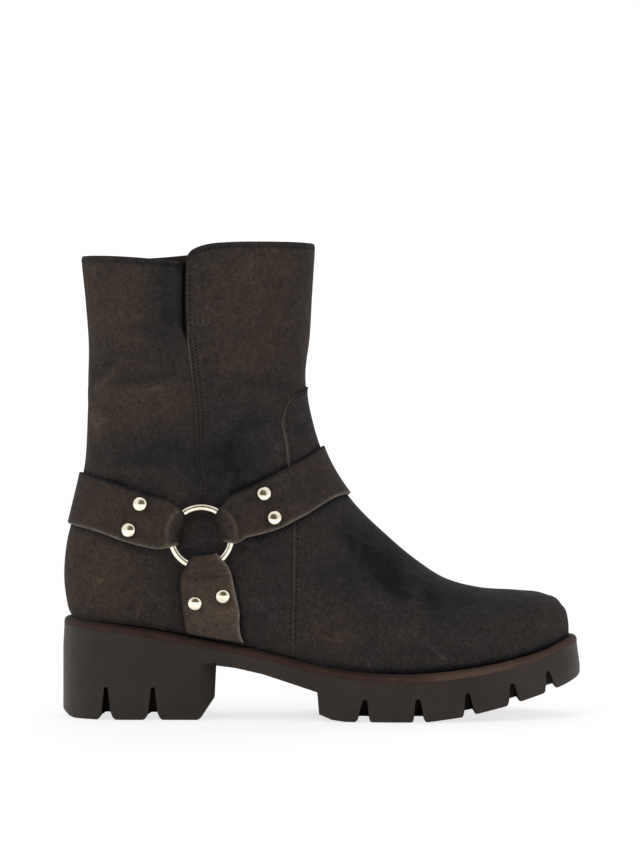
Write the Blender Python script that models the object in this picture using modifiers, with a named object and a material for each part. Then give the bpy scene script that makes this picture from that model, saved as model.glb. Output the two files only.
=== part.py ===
"""Right ankle boot with a ring harness on its outer side.

Metres, +Z up, toe towards +X, outer side towards -Y. The boot stands on Z = 0 with the middle of its
bounding box over the origin.
"""
import math

import bmesh
import bpy
import numpy as np
from mathutils import Matrix, Vector

# Driving dimensions
SOLE_BACK_X = -0.1378
SOLE_TIP_X = 0.1378
HEEL_CENTRE_X = -0.1010
TOE_START_X = 0.0600
TOE_SWING = 0.0060          # how far the toe tip lies towards the inner side
SWING_START_X = -0.0200
WAIST_REAR_X = -0.0600
WAIST_FRONT_X = 0.0300
HEEL_ROUNDNESS = 2.3        # powers of the round ends of the plan outline
TOE_ROUNDNESS = 2.3
WALL = 0.0020               # leather of the upper
GAP = 0.0003                # between pieces that touch
WELT_HEIGHT = 0.0042
WELT_BEVEL = 0.0013
WELT_GAP = 0.0006           # under the welt, whose bent facets need a little more room
INSOLE_THICKNESS = 0.0025
INSOLE_CLEAR_HEEL = 0.0020  # from the inner face of the upper
INSOLE_CLEAR_FORE = 0.0008
FEATHER_INSET_HEEL = 0.0032  # from the sole's edge in to the foot of the upper
FEATHER_INSET_FORE = 0.0056
SOLE_TAPER_HEEL = 0.0006     # the sole's side leans in towards its top
SOLE_TAPER_FORE = 0.0016
TAPER_HEIGHT = 0.0120
PLATEAU_INSET = 0.0100       # raised middle of the sole, inside the welt
SEAM_STEP = 0.0010           # an overlapping panel's edge
SEAM_FADE = 0.0120
SEAM_RISER = 0.0006
SEAM_RUN_OUT = 0.0040
SLIT_RISE = 0.0013           # extra lift of the free edge at the collar slit
SLIT_BOTTOM_Z = 0.1950
SLIT_TOP_Z = 0.2400
QUARTER_STEP_LOW_Z = 0.1120  # below this the quarter seam lies flat under the ring
QUARTER_STEP_FULL_Z = 0.1220
STRAP_THICKNESS = 0.0018
HARNESS_TAIL = 0.0230        # folded end that lies under the strap
STIRRUP_TAIL = 0.0190
TAIL_CLEAR = 0.0030
TAIL_FALL = 0.0100
RING_X = -0.0628
RING_Z = 0.0957
RING_RADIUS = 0.0155
RING_WIRE = 0.0039
RING_LIFT = 0.0046           # wire centre above the leather
STUD_RADIUS = 0.0037
STUD_HEIGHT = 0.0024
STUD_RIM = 0.0005
STUD_SEAT = 0.0001           # extra room under a rivet on the bent strap

# The pivot in front of the ankle from which all sections of the upper fan out
PIVOT_X = 0.150
PIVOT_Z = 0.250

LATERAL = -1.0
MEDIAL = 1.0

# Plan of the sole: x, half width to the outer side, half width to the inner side
PLAN = (
    (-0.1010, 0.0350, 0.0350),
    (-0.0600, 0.0358, 0.0333),
    (-0.0250, 0.0398, 0.0299),
    (0.0100, 0.0472, 0.0353),
    (0.0380, 0.0519, 0.0427),
    (0.0600, 0.0528, 0.0462),
    (0.0850, 0.0515, 0.0466),
    (0.1100, 0.0482, 0.0444),
    (0.1378, 0.0440, 0.0410),
)

# Line where the upper meets the welt, heel to toe: x, z
FEATHER = (
    (-0.1343, 0.0530),
    (-0.1150, 0.0510),
    (-0.0930, 0.0480),
    (-0.0560, 0.0412),
    (-0.0310, 0.0365),
    (-0.0020, 0.0294),
    (0.0220, 0.0258),
    (0.0470, 0.0250),
    (0.0750, 0.0274),
    (0.1010, 0.0320),
    (0.1170, 0.0362),
    (0.1322, 0.0427),
)

# Top line of the foot and front of the shaft, toe to collar: x, z
RIDGE = (
    (0.1322, 0.0427),
    (0.1313, 0.0510),
    (0.1277, 0.0587),
    (0.1187, 0.0640),
    (0.1040, 0.0660),
    (0.0840, 0.0675),
    (0.0656, 0.0725),
    (0.0506, 0.0820),
    (0.0350, 0.0950),
    (0.0160, 0.1140),
    (0.0010, 0.1380),
    (-0.0055, 0.1580),
    (-0.0088, 0.1800),
    (-0.0066, 0.2000),
    (-0.0053, 0.2220),
    (-0.0035, 0.2500),
    (-0.0030, 0.2570),
)

# Back line of the heel and shaft, sole to collar: x, z
BACK = (
    (-0.1343, 0.0530),
    (-0.1373, 0.0720),
    (-0.1362, 0.0900),
    (-0.1318, 0.1090),
    (-0.1266, 0.1320),
    (-0.1251, 0.1520),
    (-0.1246, 0.1780),
    (-0.1243, 0.1960),
    (-0.1258, 0.2180),
    (-0.1285, 0.2440),
    (-0.1298, 0.2560),
)

# Form of the sections by fan angle: degrees, place of the widest point from ridge to tail, fullness beside
# the ridge, swell of the forefoot over its foot line, half width of ankle and shaft, power of the tail half
SECTIONS = (
    (4.0, 0.80, 0.16, 1.02, 0.0380, 2.0),
    (12.0, 0.78, 0.16, 1.03, 0.0380, 2.0),
    (20.0, 0.74, 0.10, 1.03, 0.0380, 2.0),
    (30.0, 0.70, 0.00, 1.03, 0.0380, 2.0),
    (40.0, 0.62, -0.03, 1.03, 0.0374, 2.2),
    (48.0, 0.56, 0.00, 1.03, 0.0370, 2.4),
    (52.0, 0.53, 0.04, 1.03, 0.0370, 2.6),
    (55.3, 0.52, 0.05, 1.03, 0.0370, 2.7),
    (60.0, 0.50, 0.08, 1.03, 0.0368, 2.5),
    (66.0, 0.50, 0.10, 1.03, 0.0364, 2.3),
    (74.0, 0.50, 0.10, 1.03, 0.0375, 2.2),
    (82.0, 0.50, 0.12, 1.03, 0.0390, 2.2),
    (92.0, 0.50, 0.12, 1.03, 0.0402, 2.2),
)
FOREFOOT_DEG = 26.0         # sections up to here have the width of the sole
ANKLE_DEG = 46.0            # and from here on that of the ankle

# Seams in side view, top to bottom: x, z
VAMP_SEAM = (
    (-0.0083, 0.1745),
    (-0.0167, 0.1674),
    (-0.0206, 0.1590),
    (-0.0194, 0.1450),
    (-0.0178, 0.1320),
    (-0.0150, 0.1100),
    (-0.0150, 0.0700),
    (-0.0150, 0.0326),
)
QUARTER_SEAM = (
    (-0.0704, 0.2440),
    (-0.0704, 0.2015),
    (-0.0688, 0.1850),
    (-0.0670, 0.1670),
    (-0.0657, 0.1410),
    (-0.0640, 0.1150),
    (-0.0630, 0.0800),
    (-0.0620, 0.0423),
)

# Collar in side view, front to back: x, z
COLLAR_FRONT = (
    (-0.0035, 0.2503),
    (-0.0290, 0.2500),
    (-0.0490, 0.2494),
    (-0.0590, 0.2484),
    (-0.0650, 0.2466),
    (-0.0690, 0.2440),
    (-0.0704, 0.2416),
)
COLLAR_REAR = (
    (-0.0704, 0.2384),
    (-0.0780, 0.2395),
    (-0.0964, 0.2415),
    (-0.1284, 0.2436),
)
COLLAR_INNER = (
    (-0.0035, 0.2503),
    (-0.0300, 0.2498),
    (-0.0600, 0.2478),
    (-0.0950, 0.2446),
    (-0.1284, 0.2436),
)

# Strap sections in side view, out from the ring: side, then x, z on the two edges
HARNESS = (
    (LATERAL, -0.0823, 0.1158, -0.0888, 0.0898),
    (LATERAL, -0.0953, 0.1191, -0.1018, 0.0930),
    (LATERAL, -0.1073, 0.1233, -0.1140, 0.0974),
    (LATERAL, -0.1198, 0.1268, -0.1262, 0.1002),
    (None, -0.1272, 0.1288, -0.1337, 0.1018),
    (MEDIAL, -0.1150, 0.1250, -0.1215, 0.0990),
    (MEDIAL, -0.0900, 0.1190, -0.0940, 0.0930),
    (MEDIAL, -0.0620, 0.1165, -0.0600, 0.0905),
    (MEDIAL, -0.0350, 0.1215, -0.0280, 0.0965),
    (MEDIAL, -0.0120, 0.1330, -0.0010, 0.1095),
    (None, -0.0016, 0.1420, 0.0138, 0.1167),
    (LATERAL, -0.0078, 0.1374, 0.0045, 0.1145),
    (LATERAL, -0.0214, 0.1301, -0.0100, 0.1058),
    (LATERAL, -0.0360, 0.1228, -0.0245, 0.0989),
    (LATERAL, -0.0469, 0.1181, -0.0385, 0.0954),
)
STIRRUP = (
    (LATERAL, -0.0742, 0.0725, -0.0466, 0.0738),
    (LATERAL, -0.0736, 0.0645, -0.0447, 0.0650),
    (LATERAL, -0.0722, 0.0550, -0.0429, 0.0550),
    (LATERAL, -0.0706, 0.0462, -0.0407, 0.0409),
)

# Part of the ring that each strap end wraps, in degrees from +X towards +Z: at the first edge, at the second
WRAPS = {
    "rear": (126.0, 197.0),
    "front": (62.0, -6.0),
    "stirrup": (231.0, 320.0),
}

# Rivet places in side view: node name, x, z
STUDS = (
    ("stud_rear_upper", -0.0939, 0.1127),
    ("stud_rear_lower", -0.0997, 0.0992),
    ("stud_front_upper", -0.0311, 0.1173),
    ("stud_front_lower", -0.0256, 0.1049),
    ("stud_stirrup_rear", -0.0660, 0.0617),
    ("stud_stirrup_front", -0.0515, 0.0652),
)

# Underside of the sole, heel to toe: x, z
UNDERSIDE = (
    (-0.1420, 0.0075),
    (-0.1370, 0.0028),
    (-0.1335, 0.0006),
    (-0.1310, 0.0000),
    (-0.0640, 0.0000),
    (-0.0560, 0.0119),
    (-0.0558, 0.0285),
    (-0.0448, 0.0271),
    (-0.0308, 0.0240),
    (-0.0110, 0.0177),
    (-0.0022, 0.0149),
    (-0.0020, 0.0038),
    (0.0047, 0.0010),
    (0.0120, 0.0000),
    (0.0540, 0.0000),
    (0.0740, 0.0026),
    (0.0970, 0.0077),
    (0.1180, 0.0136),
    (0.1290, 0.0172),
    (0.1355, 0.0200),
    (0.1420, 0.0250),
)

# Grooves across the forefoot: x and z at the top, width at the top, x of both bottom edges
GROOVES = (
    (0.0222, 0.0113, 0.0024, 0.0180, 0.0244),
    (0.0496, 0.0119, 0.0024, 0.0474, 0.0531),
    (0.0755, 0.0147, 0.0024, 0.0737, 0.0793),
    (0.0994, 0.0191, 0.0024, 0.0974, 0.1032),
    (0.1189, 0.0246, 0.0022, 0.1176, 0.1234),
)

# Slots in the heel's side: x of the middle
HEEL_SLOTS = (-0.1130, -0.0884)
SLOT_TOP_Z = 0.0165
SLOT_TOP_WIDTH = 0.0020
SLOT_FOOT_Z = 0.0045
SLOT_FOOT_WIDTH = 0.0042
SLOT_MOUTH_WIDTH = 0.0080
SLOT_DEPTH = 0.0070
SLOT_OVERLAP = 0.0020        # a slot starts this far down in the groove below it
BREAST_X = -0.0558
BREAST_CHAMFER = 0.0080
BREAST_CHAMFER_TOP = 0.0290

# Mesh counts
HEEL_STATIONS = 7
MIDDLE_STATIONS = 9
TOE_STATIONS = 9
VAMP_COLUMNS = 8
FRONT_COLUMNS = 7
FRONT_CROWDING = 1.7        # columns close up towards the quarter seam and the corner of its collar
REAR_COLUMNS = 8
FOOT_ROWS_DEG = (5.3, 5.8, 6.6, 7.8, 9.6, 12.0, 15.0, 18.5, 22.0, 25.5, 29.0, 32.5, 35.5, 38.0, 41.0, 44.0, 46.5,
                 49.0, 51.2, 52.8, 54.0, 54.8)
SHAFT_ROWS_DEG = (57.0, 59.5, 62.0, 64.0, 66.5, 69.5)
STUD_STEPS = 6
STUD_SIDES = 16
RING_SIDES = 36
WIRE_SIDES = 8
MERGE = 0.00001
NORMAL_STEP = 0.002          # of turn and fan angle, for the direction of a face
SHARP_ANGLE = math.radians(35)
COLLAR_ROWS = (0.20, 0.40, 0.60, 0.80, 0.93, 1.0)
STRAP_STEP = 0.0052
STRAP_COLUMNS = 4
WRAP_ROWS = 8
WRAP_TURN = (-38.0, 212.0)  # degrees that a strap end turns about the wire
TAIL_ROWS = 5
FAR_Y = 0.090               # cutters reach past the boot
PROFILE_TOP = 0.100
BLANK_BOTTOM = -0.010
CHAMFER_OVERSHOOT = 0.004


def through(xs, ys):
    """Smooth curve through points with growing xs, as a function of whole arrays."""
    xs = np.asarray(xs, float)
    ys = np.asarray(ys, float)
    step = np.diff(xs)
    slope = np.diff(ys) / step
    tangent = np.empty_like(ys)
    tangent[1:-1] = (slope[:-1] * step[1:] + slope[1:] * step[:-1]) / (step[:-1] + step[1:])
    tangent[0] = 1.5 * slope[0] - 0.5 * tangent[1]
    tangent[-1] = 1.5 * slope[-1] - 0.5 * tangent[-2]

    def curve(x):
        x = np.clip(np.asarray(x, float), xs[0], xs[-1])
        i = np.clip(np.searchsorted(xs, x, side="right") - 1, 0, len(step) - 1)
        t = (x - xs[i]) / step[i]
        rise = ys[i + 1] - ys[i]
        start = tangent[i] * step[i]
        end = tangent[i + 1] * step[i]
        return ys[i] + start * t + (3 * rise - 2 * start - end) * t ** 2 + (start + end - 2 * rise) * t ** 3

    return curve


def smooth_step(value):
    value = np.clip(value, 0.0, 1.0)
    return value * value * (3 - 2 * value)


def polar(x, z):
    """Fan angle and reach of a side-view point seen from the pivot."""
    return np.arctan2(PIVOT_X - x, PIVOT_Z - z), np.hypot(PIVOT_X - x, PIVOT_Z - z)


def side_point(angle, reach):
    return PIVOT_X - reach * np.sin(angle), PIVOT_Z - reach * np.cos(angle)


def reach_curve(table):
    """Reach from the pivot as a smooth function of the fan angle, for a table of x, z."""
    points = np.array(table)
    angle, reach = polar(points[:, 0], points[:, 1])
    order = np.argsort(angle)
    return through(angle[order], reach[order])


plan_table = np.array(PLAN)
plan_half = {
    LATERAL: through(plan_table[:, 0], plan_table[:, 1]),
    MEDIAL: through(plan_table[:, 0], plan_table[:, 2]),
}
feather_z = through(*np.array(FEATHER).T)
ridge_reach = reach_curve(RIDGE)
feather_reach = reach_curve(FEATHER)
back_reach = reach_curve(BACK)
section_table = np.array(SECTIONS)
section_form = [through(np.radians(section_table[:, 0]), section_table[:, i]) for i in range(1, 6)]
TOE_ANGLE = float(polar(*RIDGE[0])[0])
HEEL_ANGLE = float(polar(*BACK[0])[0])


def swing(x):
    """Side shift of the foot's middle line."""
    return TOE_SWING * smooth_step((x - SWING_START_X) / (SOLE_TIP_X - SWING_START_X))


def outline_half(x, side, inset_heel, inset_fore):
    """Half width of the plan outline, drawn in by an inset at the heel and another at the forefoot."""
    back = SOLE_BACK_X + inset_heel
    tip = SOLE_TIP_X - inset_fore
    fore = smooth_step((x - WAIST_REAR_X) / (WAIST_FRONT_X - WAIST_REAR_X))
    half = plan_half[side](x) - (inset_heel + (inset_fore - inset_heel) * fore)
    heel = np.clip((HEEL_CENTRE_X - x) / (HEEL_CENTRE_X - back), 0.0, 1.0)
    toe = np.clip((x - TOE_START_X) / (tip - TOE_START_X), 0.0, 1.0)
    return half * np.sqrt(1 - heel ** HEEL_ROUNDNESS) * np.sqrt(1 - toe ** TOE_ROUNDNESS)


def outline_stations(inset_heel, inset_fore):
    """Places along X for an outline, close together at its round ends."""
    back = SOLE_BACK_X + inset_heel
    tip = SOLE_TIP_X - inset_fore
    heel_turn = np.linspace(0, math.pi / 2, HEEL_STATIONS)
    toe_turn = np.linspace(0, math.pi / 2, TOE_STATIONS)
    heel = HEEL_CENTRE_X - (HEEL_CENTRE_X - back) * np.cos(heel_turn)
    toe = TOE_START_X + (tip - TOE_START_X) * np.sin(toe_turn)
    middle = np.linspace(HEEL_CENTRE_X, TOE_START_X, MIDDLE_STATIONS + 1)[1:-1]
    return np.concatenate([heel, middle, toe])


def outline_ring(inset_heel, inset_fore, height):
    """Closed ring of points round the outline, back to tip on the outer side, then back on the inner."""
    x = outline_stations(inset_heel, inset_fore)
    outer = swing(x) + LATERAL * outline_half(x, LATERAL, inset_heel, inset_fore)
    inner = swing(x) + MEDIAL * outline_half(x, MEDIAL, inset_heel, inset_fore)
    z = height(x)
    lateral = np.column_stack([x, outer, z])
    medial = np.column_stack([x, inner, z])
    return np.vstack([lateral, medial[-2:0:-1]])


def section(angle, side):
    """Values of the section at a fan angle: ridge and tail reach, widths and form."""
    foot = angle <= HEEL_ANGLE
    ridge = ridge_reach(angle)
    tail = np.where(foot, feather_reach(angle), back_reach(angle))
    tail = np.maximum(tail, ridge)
    tail_x, _ = side_point(angle, tail)
    edge = outline_half(tail_x, side, FEATHER_INSET_HEEL, FEATHER_INSET_FORE)
    edge = np.where(foot & (angle > TOE_ANGLE), edge, 0.0)
    edge = np.where(angle >= HEEL_ANGLE, 0.0, edge)
    widest, fullness, swell, body, power = [form(angle) for form in section_form]
    ankle = smooth_step((np.degrees(angle) - FOREFOOT_DEG) / (ANKLE_DEG - FOREFOOT_DEG))
    width = np.maximum(swell * edge * (1 - ankle) + body * ankle, 1e-9)
    closing = 1 - (edge / width) ** 2
    return ridge, tail, width, closing, widest, fullness, power


def skin(angle, turn, side):
    """Outer face of the upper without its steps.

    turn runs from 0 at the ridge to 1 at the sole or the back line. The half before the widest point is an
    ellipse with full or lean shoulders, and the half after it closes in to the foot line or the back.
    """
    angle, turn = np.broadcast_arrays(np.asarray(angle, float), np.asarray(turn, float))
    ridge, tail, width, closing, widest, fullness, power = section(angle, side)
    cosine = np.cos(math.pi * turn)
    front = turn <= 0.5
    after = np.clip(-cosine, 0.0, 1.0)
    share = np.where(front, widest * (1 - cosine), widest + (1 - widest) * after)
    before = width * np.sin(math.pi * turn) * (1 + fullness * cosine ** 2)
    behind = width * np.sqrt(np.maximum(1 - closing * after ** power, 0.0))
    x, z = side_point(angle, ridge + (tail - ridge) * share)
    return np.stack([x, swing(x) + side * np.where(front, before, behind), z], axis=-1)


def share_to_turn(angle, share):
    """Turn of the section at a share of the way from ridge to tail in side view."""
    widest = section_form[0](angle)
    share = np.clip(share, 0.0, 1.0)
    front = np.arccos(np.clip(1 - share / widest, -1.0, 1.0)) / math.pi
    after = np.arccos(-np.clip((share - widest) / (1 - widest), 0.0, 1.0)) / math.pi
    return np.where(share <= widest, front, after)


def turn_to_share(angle, turn):
    widest = section_form[0](angle)
    cosine = np.cos(math.pi * turn)
    return np.where(turn <= 0.5, widest * (1 - cosine), widest - (1 - widest) * cosine)


def span(angle):
    ridge, tail = section(angle, LATERAL)[:2]
    return tail - ridge


def locate(x, z):
    """Fan angle and turn of the upper at a side-view place."""
    angle, reach = polar(x, z)
    ridge, tail = section(angle, LATERAL)[:2]
    return angle, share_to_turn(angle, (reach - ridge) / np.maximum(tail - ridge, 1e-9))


def skin_normal(angle, turn, side):
    """Outward direction of the upper's face."""
    angle, turn = np.broadcast_arrays(np.asarray(angle, float), np.asarray(turn, float))
    small = NORMAL_STEP
    across = skin(angle, np.minimum(turn + small, 1), side) - skin(angle, np.maximum(turn - small, 0), side)
    low = np.maximum(angle - small, TOE_ANGLE + small)
    along = skin(np.maximum(angle, low) + small, turn, side) - skin(low, turn, side)
    normal = np.cross(across, along)
    middle = skin(angle, 0.5, LATERAL) / 2 + skin(angle, 0.5, MEDIAL) / 2
    outward = np.sign(np.sum(normal * (skin(angle, turn, side) - middle), axis=-1, keepdims=True))
    normal = normal * np.where(outward == 0, 1.0, outward)
    normal[..., 1] = np.where(turn <= 0, 0.0, normal[..., 1])
    closed = (turn >= 1) & (angle >= HEEL_ANGLE)
    normal[..., 1] = np.where(closed, 0.0, normal[..., 1])
    return normal / np.maximum(np.linalg.norm(normal, axis=-1, keepdims=True), 1e-12)


def seam_curve(table, top_share):
    """Share of the way from ridge to tail at which a seam crosses each section."""
    points = np.array(table)
    angle, reach = polar(points[:, 0], points[:, 1])
    ridge, tail = section(angle, LATERAL)[:2]
    share = (reach - ridge) / (tail - ridge)
    share[-1] = 1.0
    if top_share is not None:
        share[0] = top_share
    curve = through(angle[::-1], share[::-1])
    lowest = angle[-1]
    highest = angle[0]

    def crossing(at):
        inside = np.clip(curve(at), 0.0, 1.0)
        return np.where(at <= lowest, 1.0, np.where(at >= highest, share[0], inside))

    return crossing


vamp_seam = seam_curve(VAMP_SEAM, 0.0)
quarter_seam = seam_curve(QUARTER_SEAM, None)


def collar_curve(table):
    """Fan angle of a collar line by the share of the way from ridge to back."""
    points = np.array(table)
    angle, reach = polar(points[:, 0], points[:, 1])
    ridge, tail = section(angle, LATERAL)[:2]
    return through((reach - ridge) / (tail - ridge), angle)


collar_front = collar_curve(COLLAR_FRONT)
collar_rear = collar_curve(COLLAR_REAR)
collar_inner = collar_curve(COLLAR_INNER)
COLLAR_BASE = math.radians(SHAFT_ROWS_DEG[-1])
COLLAR_ANGLE = float(polar(*COLLAR_FRONT[-1])[0])


def step_height(distance, seam, angle):
    """Rise of an overlapping panel at a distance behind its edge, gone where the seam runs out."""
    length = span(angle)
    run_out = np.clip(np.minimum(seam, 1 - seam) * length / SEAM_RUN_OUT, 0.0, 1.0)
    return SEAM_STEP * run_out * np.exp(-(distance / SEAM_FADE) ** 2)


def quarter_fade(angle, seam):
    """Share of the quarter seam's step that is left: none under the ring."""
    ridge, tail = section(angle, LATERAL)[:2]
    _, z = side_point(angle, ridge + (tail - ridge) * seam)
    return smooth_step((z - QUARTER_STEP_LOW_Z) / (QUARTER_STEP_FULL_Z - QUARTER_STEP_LOW_Z))


def strap_lift(angle, turn):
    """Height of the seams' steps under a strap, with a gentle ramp beside each edge."""
    share = turn_to_share(angle, turn)
    length = span(angle)
    lift = np.zeros_like(share)
    for seam, fade in ((vamp_seam(angle), 1.0), (quarter_seam(angle), quarter_fade(angle, quarter_seam(angle)))):
        distance = (seam - share) * length
        softened = np.where(distance < 0, distance * 2.0, np.maximum(distance - SEAM_RUN_OUT, 0.0))
        lift = np.maximum(lift, fade * step_height(softened, seam, angle))
    return lift


def half_columns(angle, side):
    """Turns of one half of a section from ridge to tail, and the lift of each column over the skin."""
    length = span(angle)
    seam_front = float(vamp_seam(angle))
    seam_rear = float(quarter_seam(angle))
    riser = SEAM_RISER / max(length, 1e-6)
    shares = []
    for share in (seam_front, seam_rear):
        shares.append((share, min(share + riser, 1.0) if share > 0 else 0.0))
    marks = [0.0] + [float(share_to_turn(angle, share)) for pair in shares for share in pair] + [1.0]
    marks = np.maximum.accumulate(marks)
    vamp = np.linspace(marks[0], marks[1], VAMP_COLUMNS + 1)
    towards_seam = 1 - np.linspace(1, 0, FRONT_COLUMNS + 1) ** FRONT_CROWDING
    front = marks[2] + (marks[3] - marks[2]) * towards_seam
    rear = np.linspace(marks[4], marks[5], REAR_COLUMNS + 1)
    vamp_rise = step_height((seam_front - turn_to_share(angle, vamp)) * length, seam_front, angle)
    front_distance = (seam_rear - turn_to_share(angle, front)) * length
    front_rise = step_height(front_distance, seam_rear, angle) * quarter_fade(angle, seam_rear)
    free_edge = np.concatenate([vamp * 0, np.exp(-(front_distance / SEAM_FADE) ** 2), rear * 0])
    rise = np.concatenate([vamp_rise, front_rise, rear * 0])
    behind = np.concatenate([vamp * 0, front * 0, rear * 0 + 1]) > 0.5
    return np.concatenate([vamp, front, rear]), rise, free_edge * (side == LATERAL), behind


def upper_half(angle, climb, side):
    """Outer and inner points of one half row. climb is 0 below the collar rows and 1 on the collar."""
    nominal = angle + (COLLAR_ANGLE - angle) * climb
    turns, rise, free_edge, behind = half_columns(nominal, side)
    share = turn_to_share(nominal, turns)
    top = collar_inner(share) if side == MEDIAL else np.where(behind, collar_rear(share), collar_front(share))
    angles = angle + (top - angle) * climb
    face = skin(angles, turns, side)
    normal = skin_normal(angles, turns, side)
    opening = SLIT_RISE * free_edge * smooth_step((face[:, 2] - SLIT_BOTTOM_Z) / (SLIT_TOP_Z - SLIT_BOTTOM_Z))
    outer = face + normal * (rise + opening)[:, None]
    inner = face + normal * (opening - WALL)[:, None]
    inner[:, 2] = np.maximum(inner[:, 2], feather_z(inner[:, 0]))
    return outer, inner


def join_mesh(name, points, faces):
    """Mesh from points and faces, with coinciding points merged and all faces turned outwards."""
    mesh = bpy.data.meshes.new(name)
    mesh.from_pydata([tuple(point) for point in points], [], faces)
    work = bmesh.new()
    work.from_mesh(mesh)
    bmesh.ops.remove_doubles(work, verts=work.verts, dist=2 * MERGE)
    bmesh.ops.dissolve_degenerate(work, edges=work.edges, dist=MERGE)
    bmesh.ops.recalc_face_normals(work, faces=work.faces)
    work.to_mesh(mesh)
    work.free()
    mesh.shade_smooth()
    mesh.set_sharp_from_angle(angle=SHARP_ANGLE)
    return mesh


def loft(name, rings, closed):
    """Closed body through outline rings, capped straight across or closed round on itself."""
    count = len(rings[0])
    half = count // 2
    points = np.vstack(rings)
    faces = []
    for level in range(len(rings) - (0 if closed else 1)):
        low = level * count
        high = (level + 1) % len(rings) * count
        for i in range(count):
            j = (i + 1) % count
            faces.append((low + i, low + j, high + j, high + i))
    if not closed:
        for base in (0, (len(rings) - 1) * count):
            for i in range(half):
                faces.append((base + i, base + i + 1, base + (count - i - 1) % count, base + (count - i) % count))
    faces = [tuple(dict.fromkeys(face)) for face in faces]
    return join_mesh(name, points, faces)


def sheet_mesh(name, middle, thickness):
    """Strip of leather of even thickness along a grid of middle points."""
    along = np.gradient(middle, axis=0)
    across = np.gradient(middle, axis=1)
    normal = np.cross(along, across)
    normal /= np.linalg.norm(normal, axis=2, keepdims=True)
    rows, columns = middle.shape[:2]
    points = np.vstack([(middle + normal * thickness / 2).reshape(-1, 3),
                        (middle - normal * thickness / 2).reshape(-1, 3)])
    under = rows * columns
    faces = []
    for i in range(rows - 1):
        for j in range(columns - 1):
            quad = (i * columns + j, i * columns + j + 1, (i + 1) * columns + j + 1, (i + 1) * columns + j)
            faces.append(quad)
            faces.append(tuple(under + k for k in reversed(quad)))
    rim = [j for j in range(columns)]
    rim += [i * columns + columns - 1 for i in range(1, rows)]
    rim += [(rows - 1) * columns + j for j in range(columns - 2, -1, -1)]
    rim += [i * columns for i in range(rows - 2, 0, -1)]
    for i, point in enumerate(rim):
        after = rim[(i + 1) % len(rim)]
        faces.append((point, under + point, under + after, after))
    return join_mesh(name, points, faces)


def material(name, colour, roughness, metallic=0.0):
    finish = bpy.data.materials.new(name)
    finish.use_nodes = True
    shader = finish.node_tree.nodes["Principled BSDF"]
    shader.inputs["Base Color"].default_value = (*colour, 1.0)
    shader.inputs["Roughness"].default_value = roughness
    shader.inputs["Metallic"].default_value = metallic
    finish.diffuse_color = (*colour, 1.0)
    return finish


def add_part(name, mesh, finish):
    part = bpy.data.objects.new(name, mesh)
    mesh.materials.append(finish)
    parts.objects.link(part)
    part.parent = boot
    return part


def add_cutter(name, mesh):
    cutter = bpy.data.objects.new(name, mesh)
    cutter.hide_render = True
    cutter.display_type = "WIRE"
    cutters.objects.link(cutter)
    return cutter


def cut(part, cutter, operation):
    modifier = part.modifiers.new(cutter.name, "BOOLEAN")
    modifier.operation = operation
    modifier.solver = "EXACT"
    modifier.object = cutter


def prism(name, outline, axis, low, high):
    """Body with a flat outline, drawn out along Y or Z between two values."""
    work = bmesh.new()
    for level in (low, high):
        for u, v in outline:
            work.verts.new((u, level, v) if axis == "Y" else (u, v, level))
    work.verts.ensure_lookup_table()
    count = len(outline)
    first = work.verts[:count]
    second = work.verts[count:]
    work.faces.new(first)
    work.faces.new(reversed(second))
    for i in range(count):
        j = (i + 1) % count
        work.faces.new((first[i], second[i], second[j], first[j]))
    bmesh.ops.recalc_face_normals(work, faces=work.faces)
    mesh = bpy.data.meshes.new(name)
    work.to_mesh(mesh)
    work.free()
    return mesh


def sole_top(x):
    return feather_z(x) - GAP - WELT_HEIGHT - WELT_GAP


def underside_outline():
    """Side profile of the space the sole fills: the underside with its grooves, closed high above."""
    x, z = np.array(UNDERSIDE).T
    notches = [(left, right, top_x - width / 2, top_x + width / 2, top_z)
               for top_x, top_z, width, left, right in GROOVES]
    mouth = SLOT_MOUTH_WIDTH / 2
    foot = SLOT_FOOT_WIDTH / 2
    notches += [(middle - mouth, middle + mouth, middle - foot, middle + foot, SLOT_FOOT_Z)
                for middle in HEEL_SLOTS]
    points = list(UNDERSIDE)
    for left, right, top_left, top_right, top_z in notches:
        before = [point for point in points if point[0] < left]
        after = [point for point in points if point[0] > right]
        notch = [(left, float(np.interp(left, x, z))), (top_left, top_z)]
        notch += [(top_right, top_z), (right, float(np.interp(right, x, z)))]
        points = before + notch + after
    return points + [(UNDERSIDE[-1][0], PROFILE_TOP), (UNDERSIDE[0][0], PROFILE_TOP)]


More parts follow.
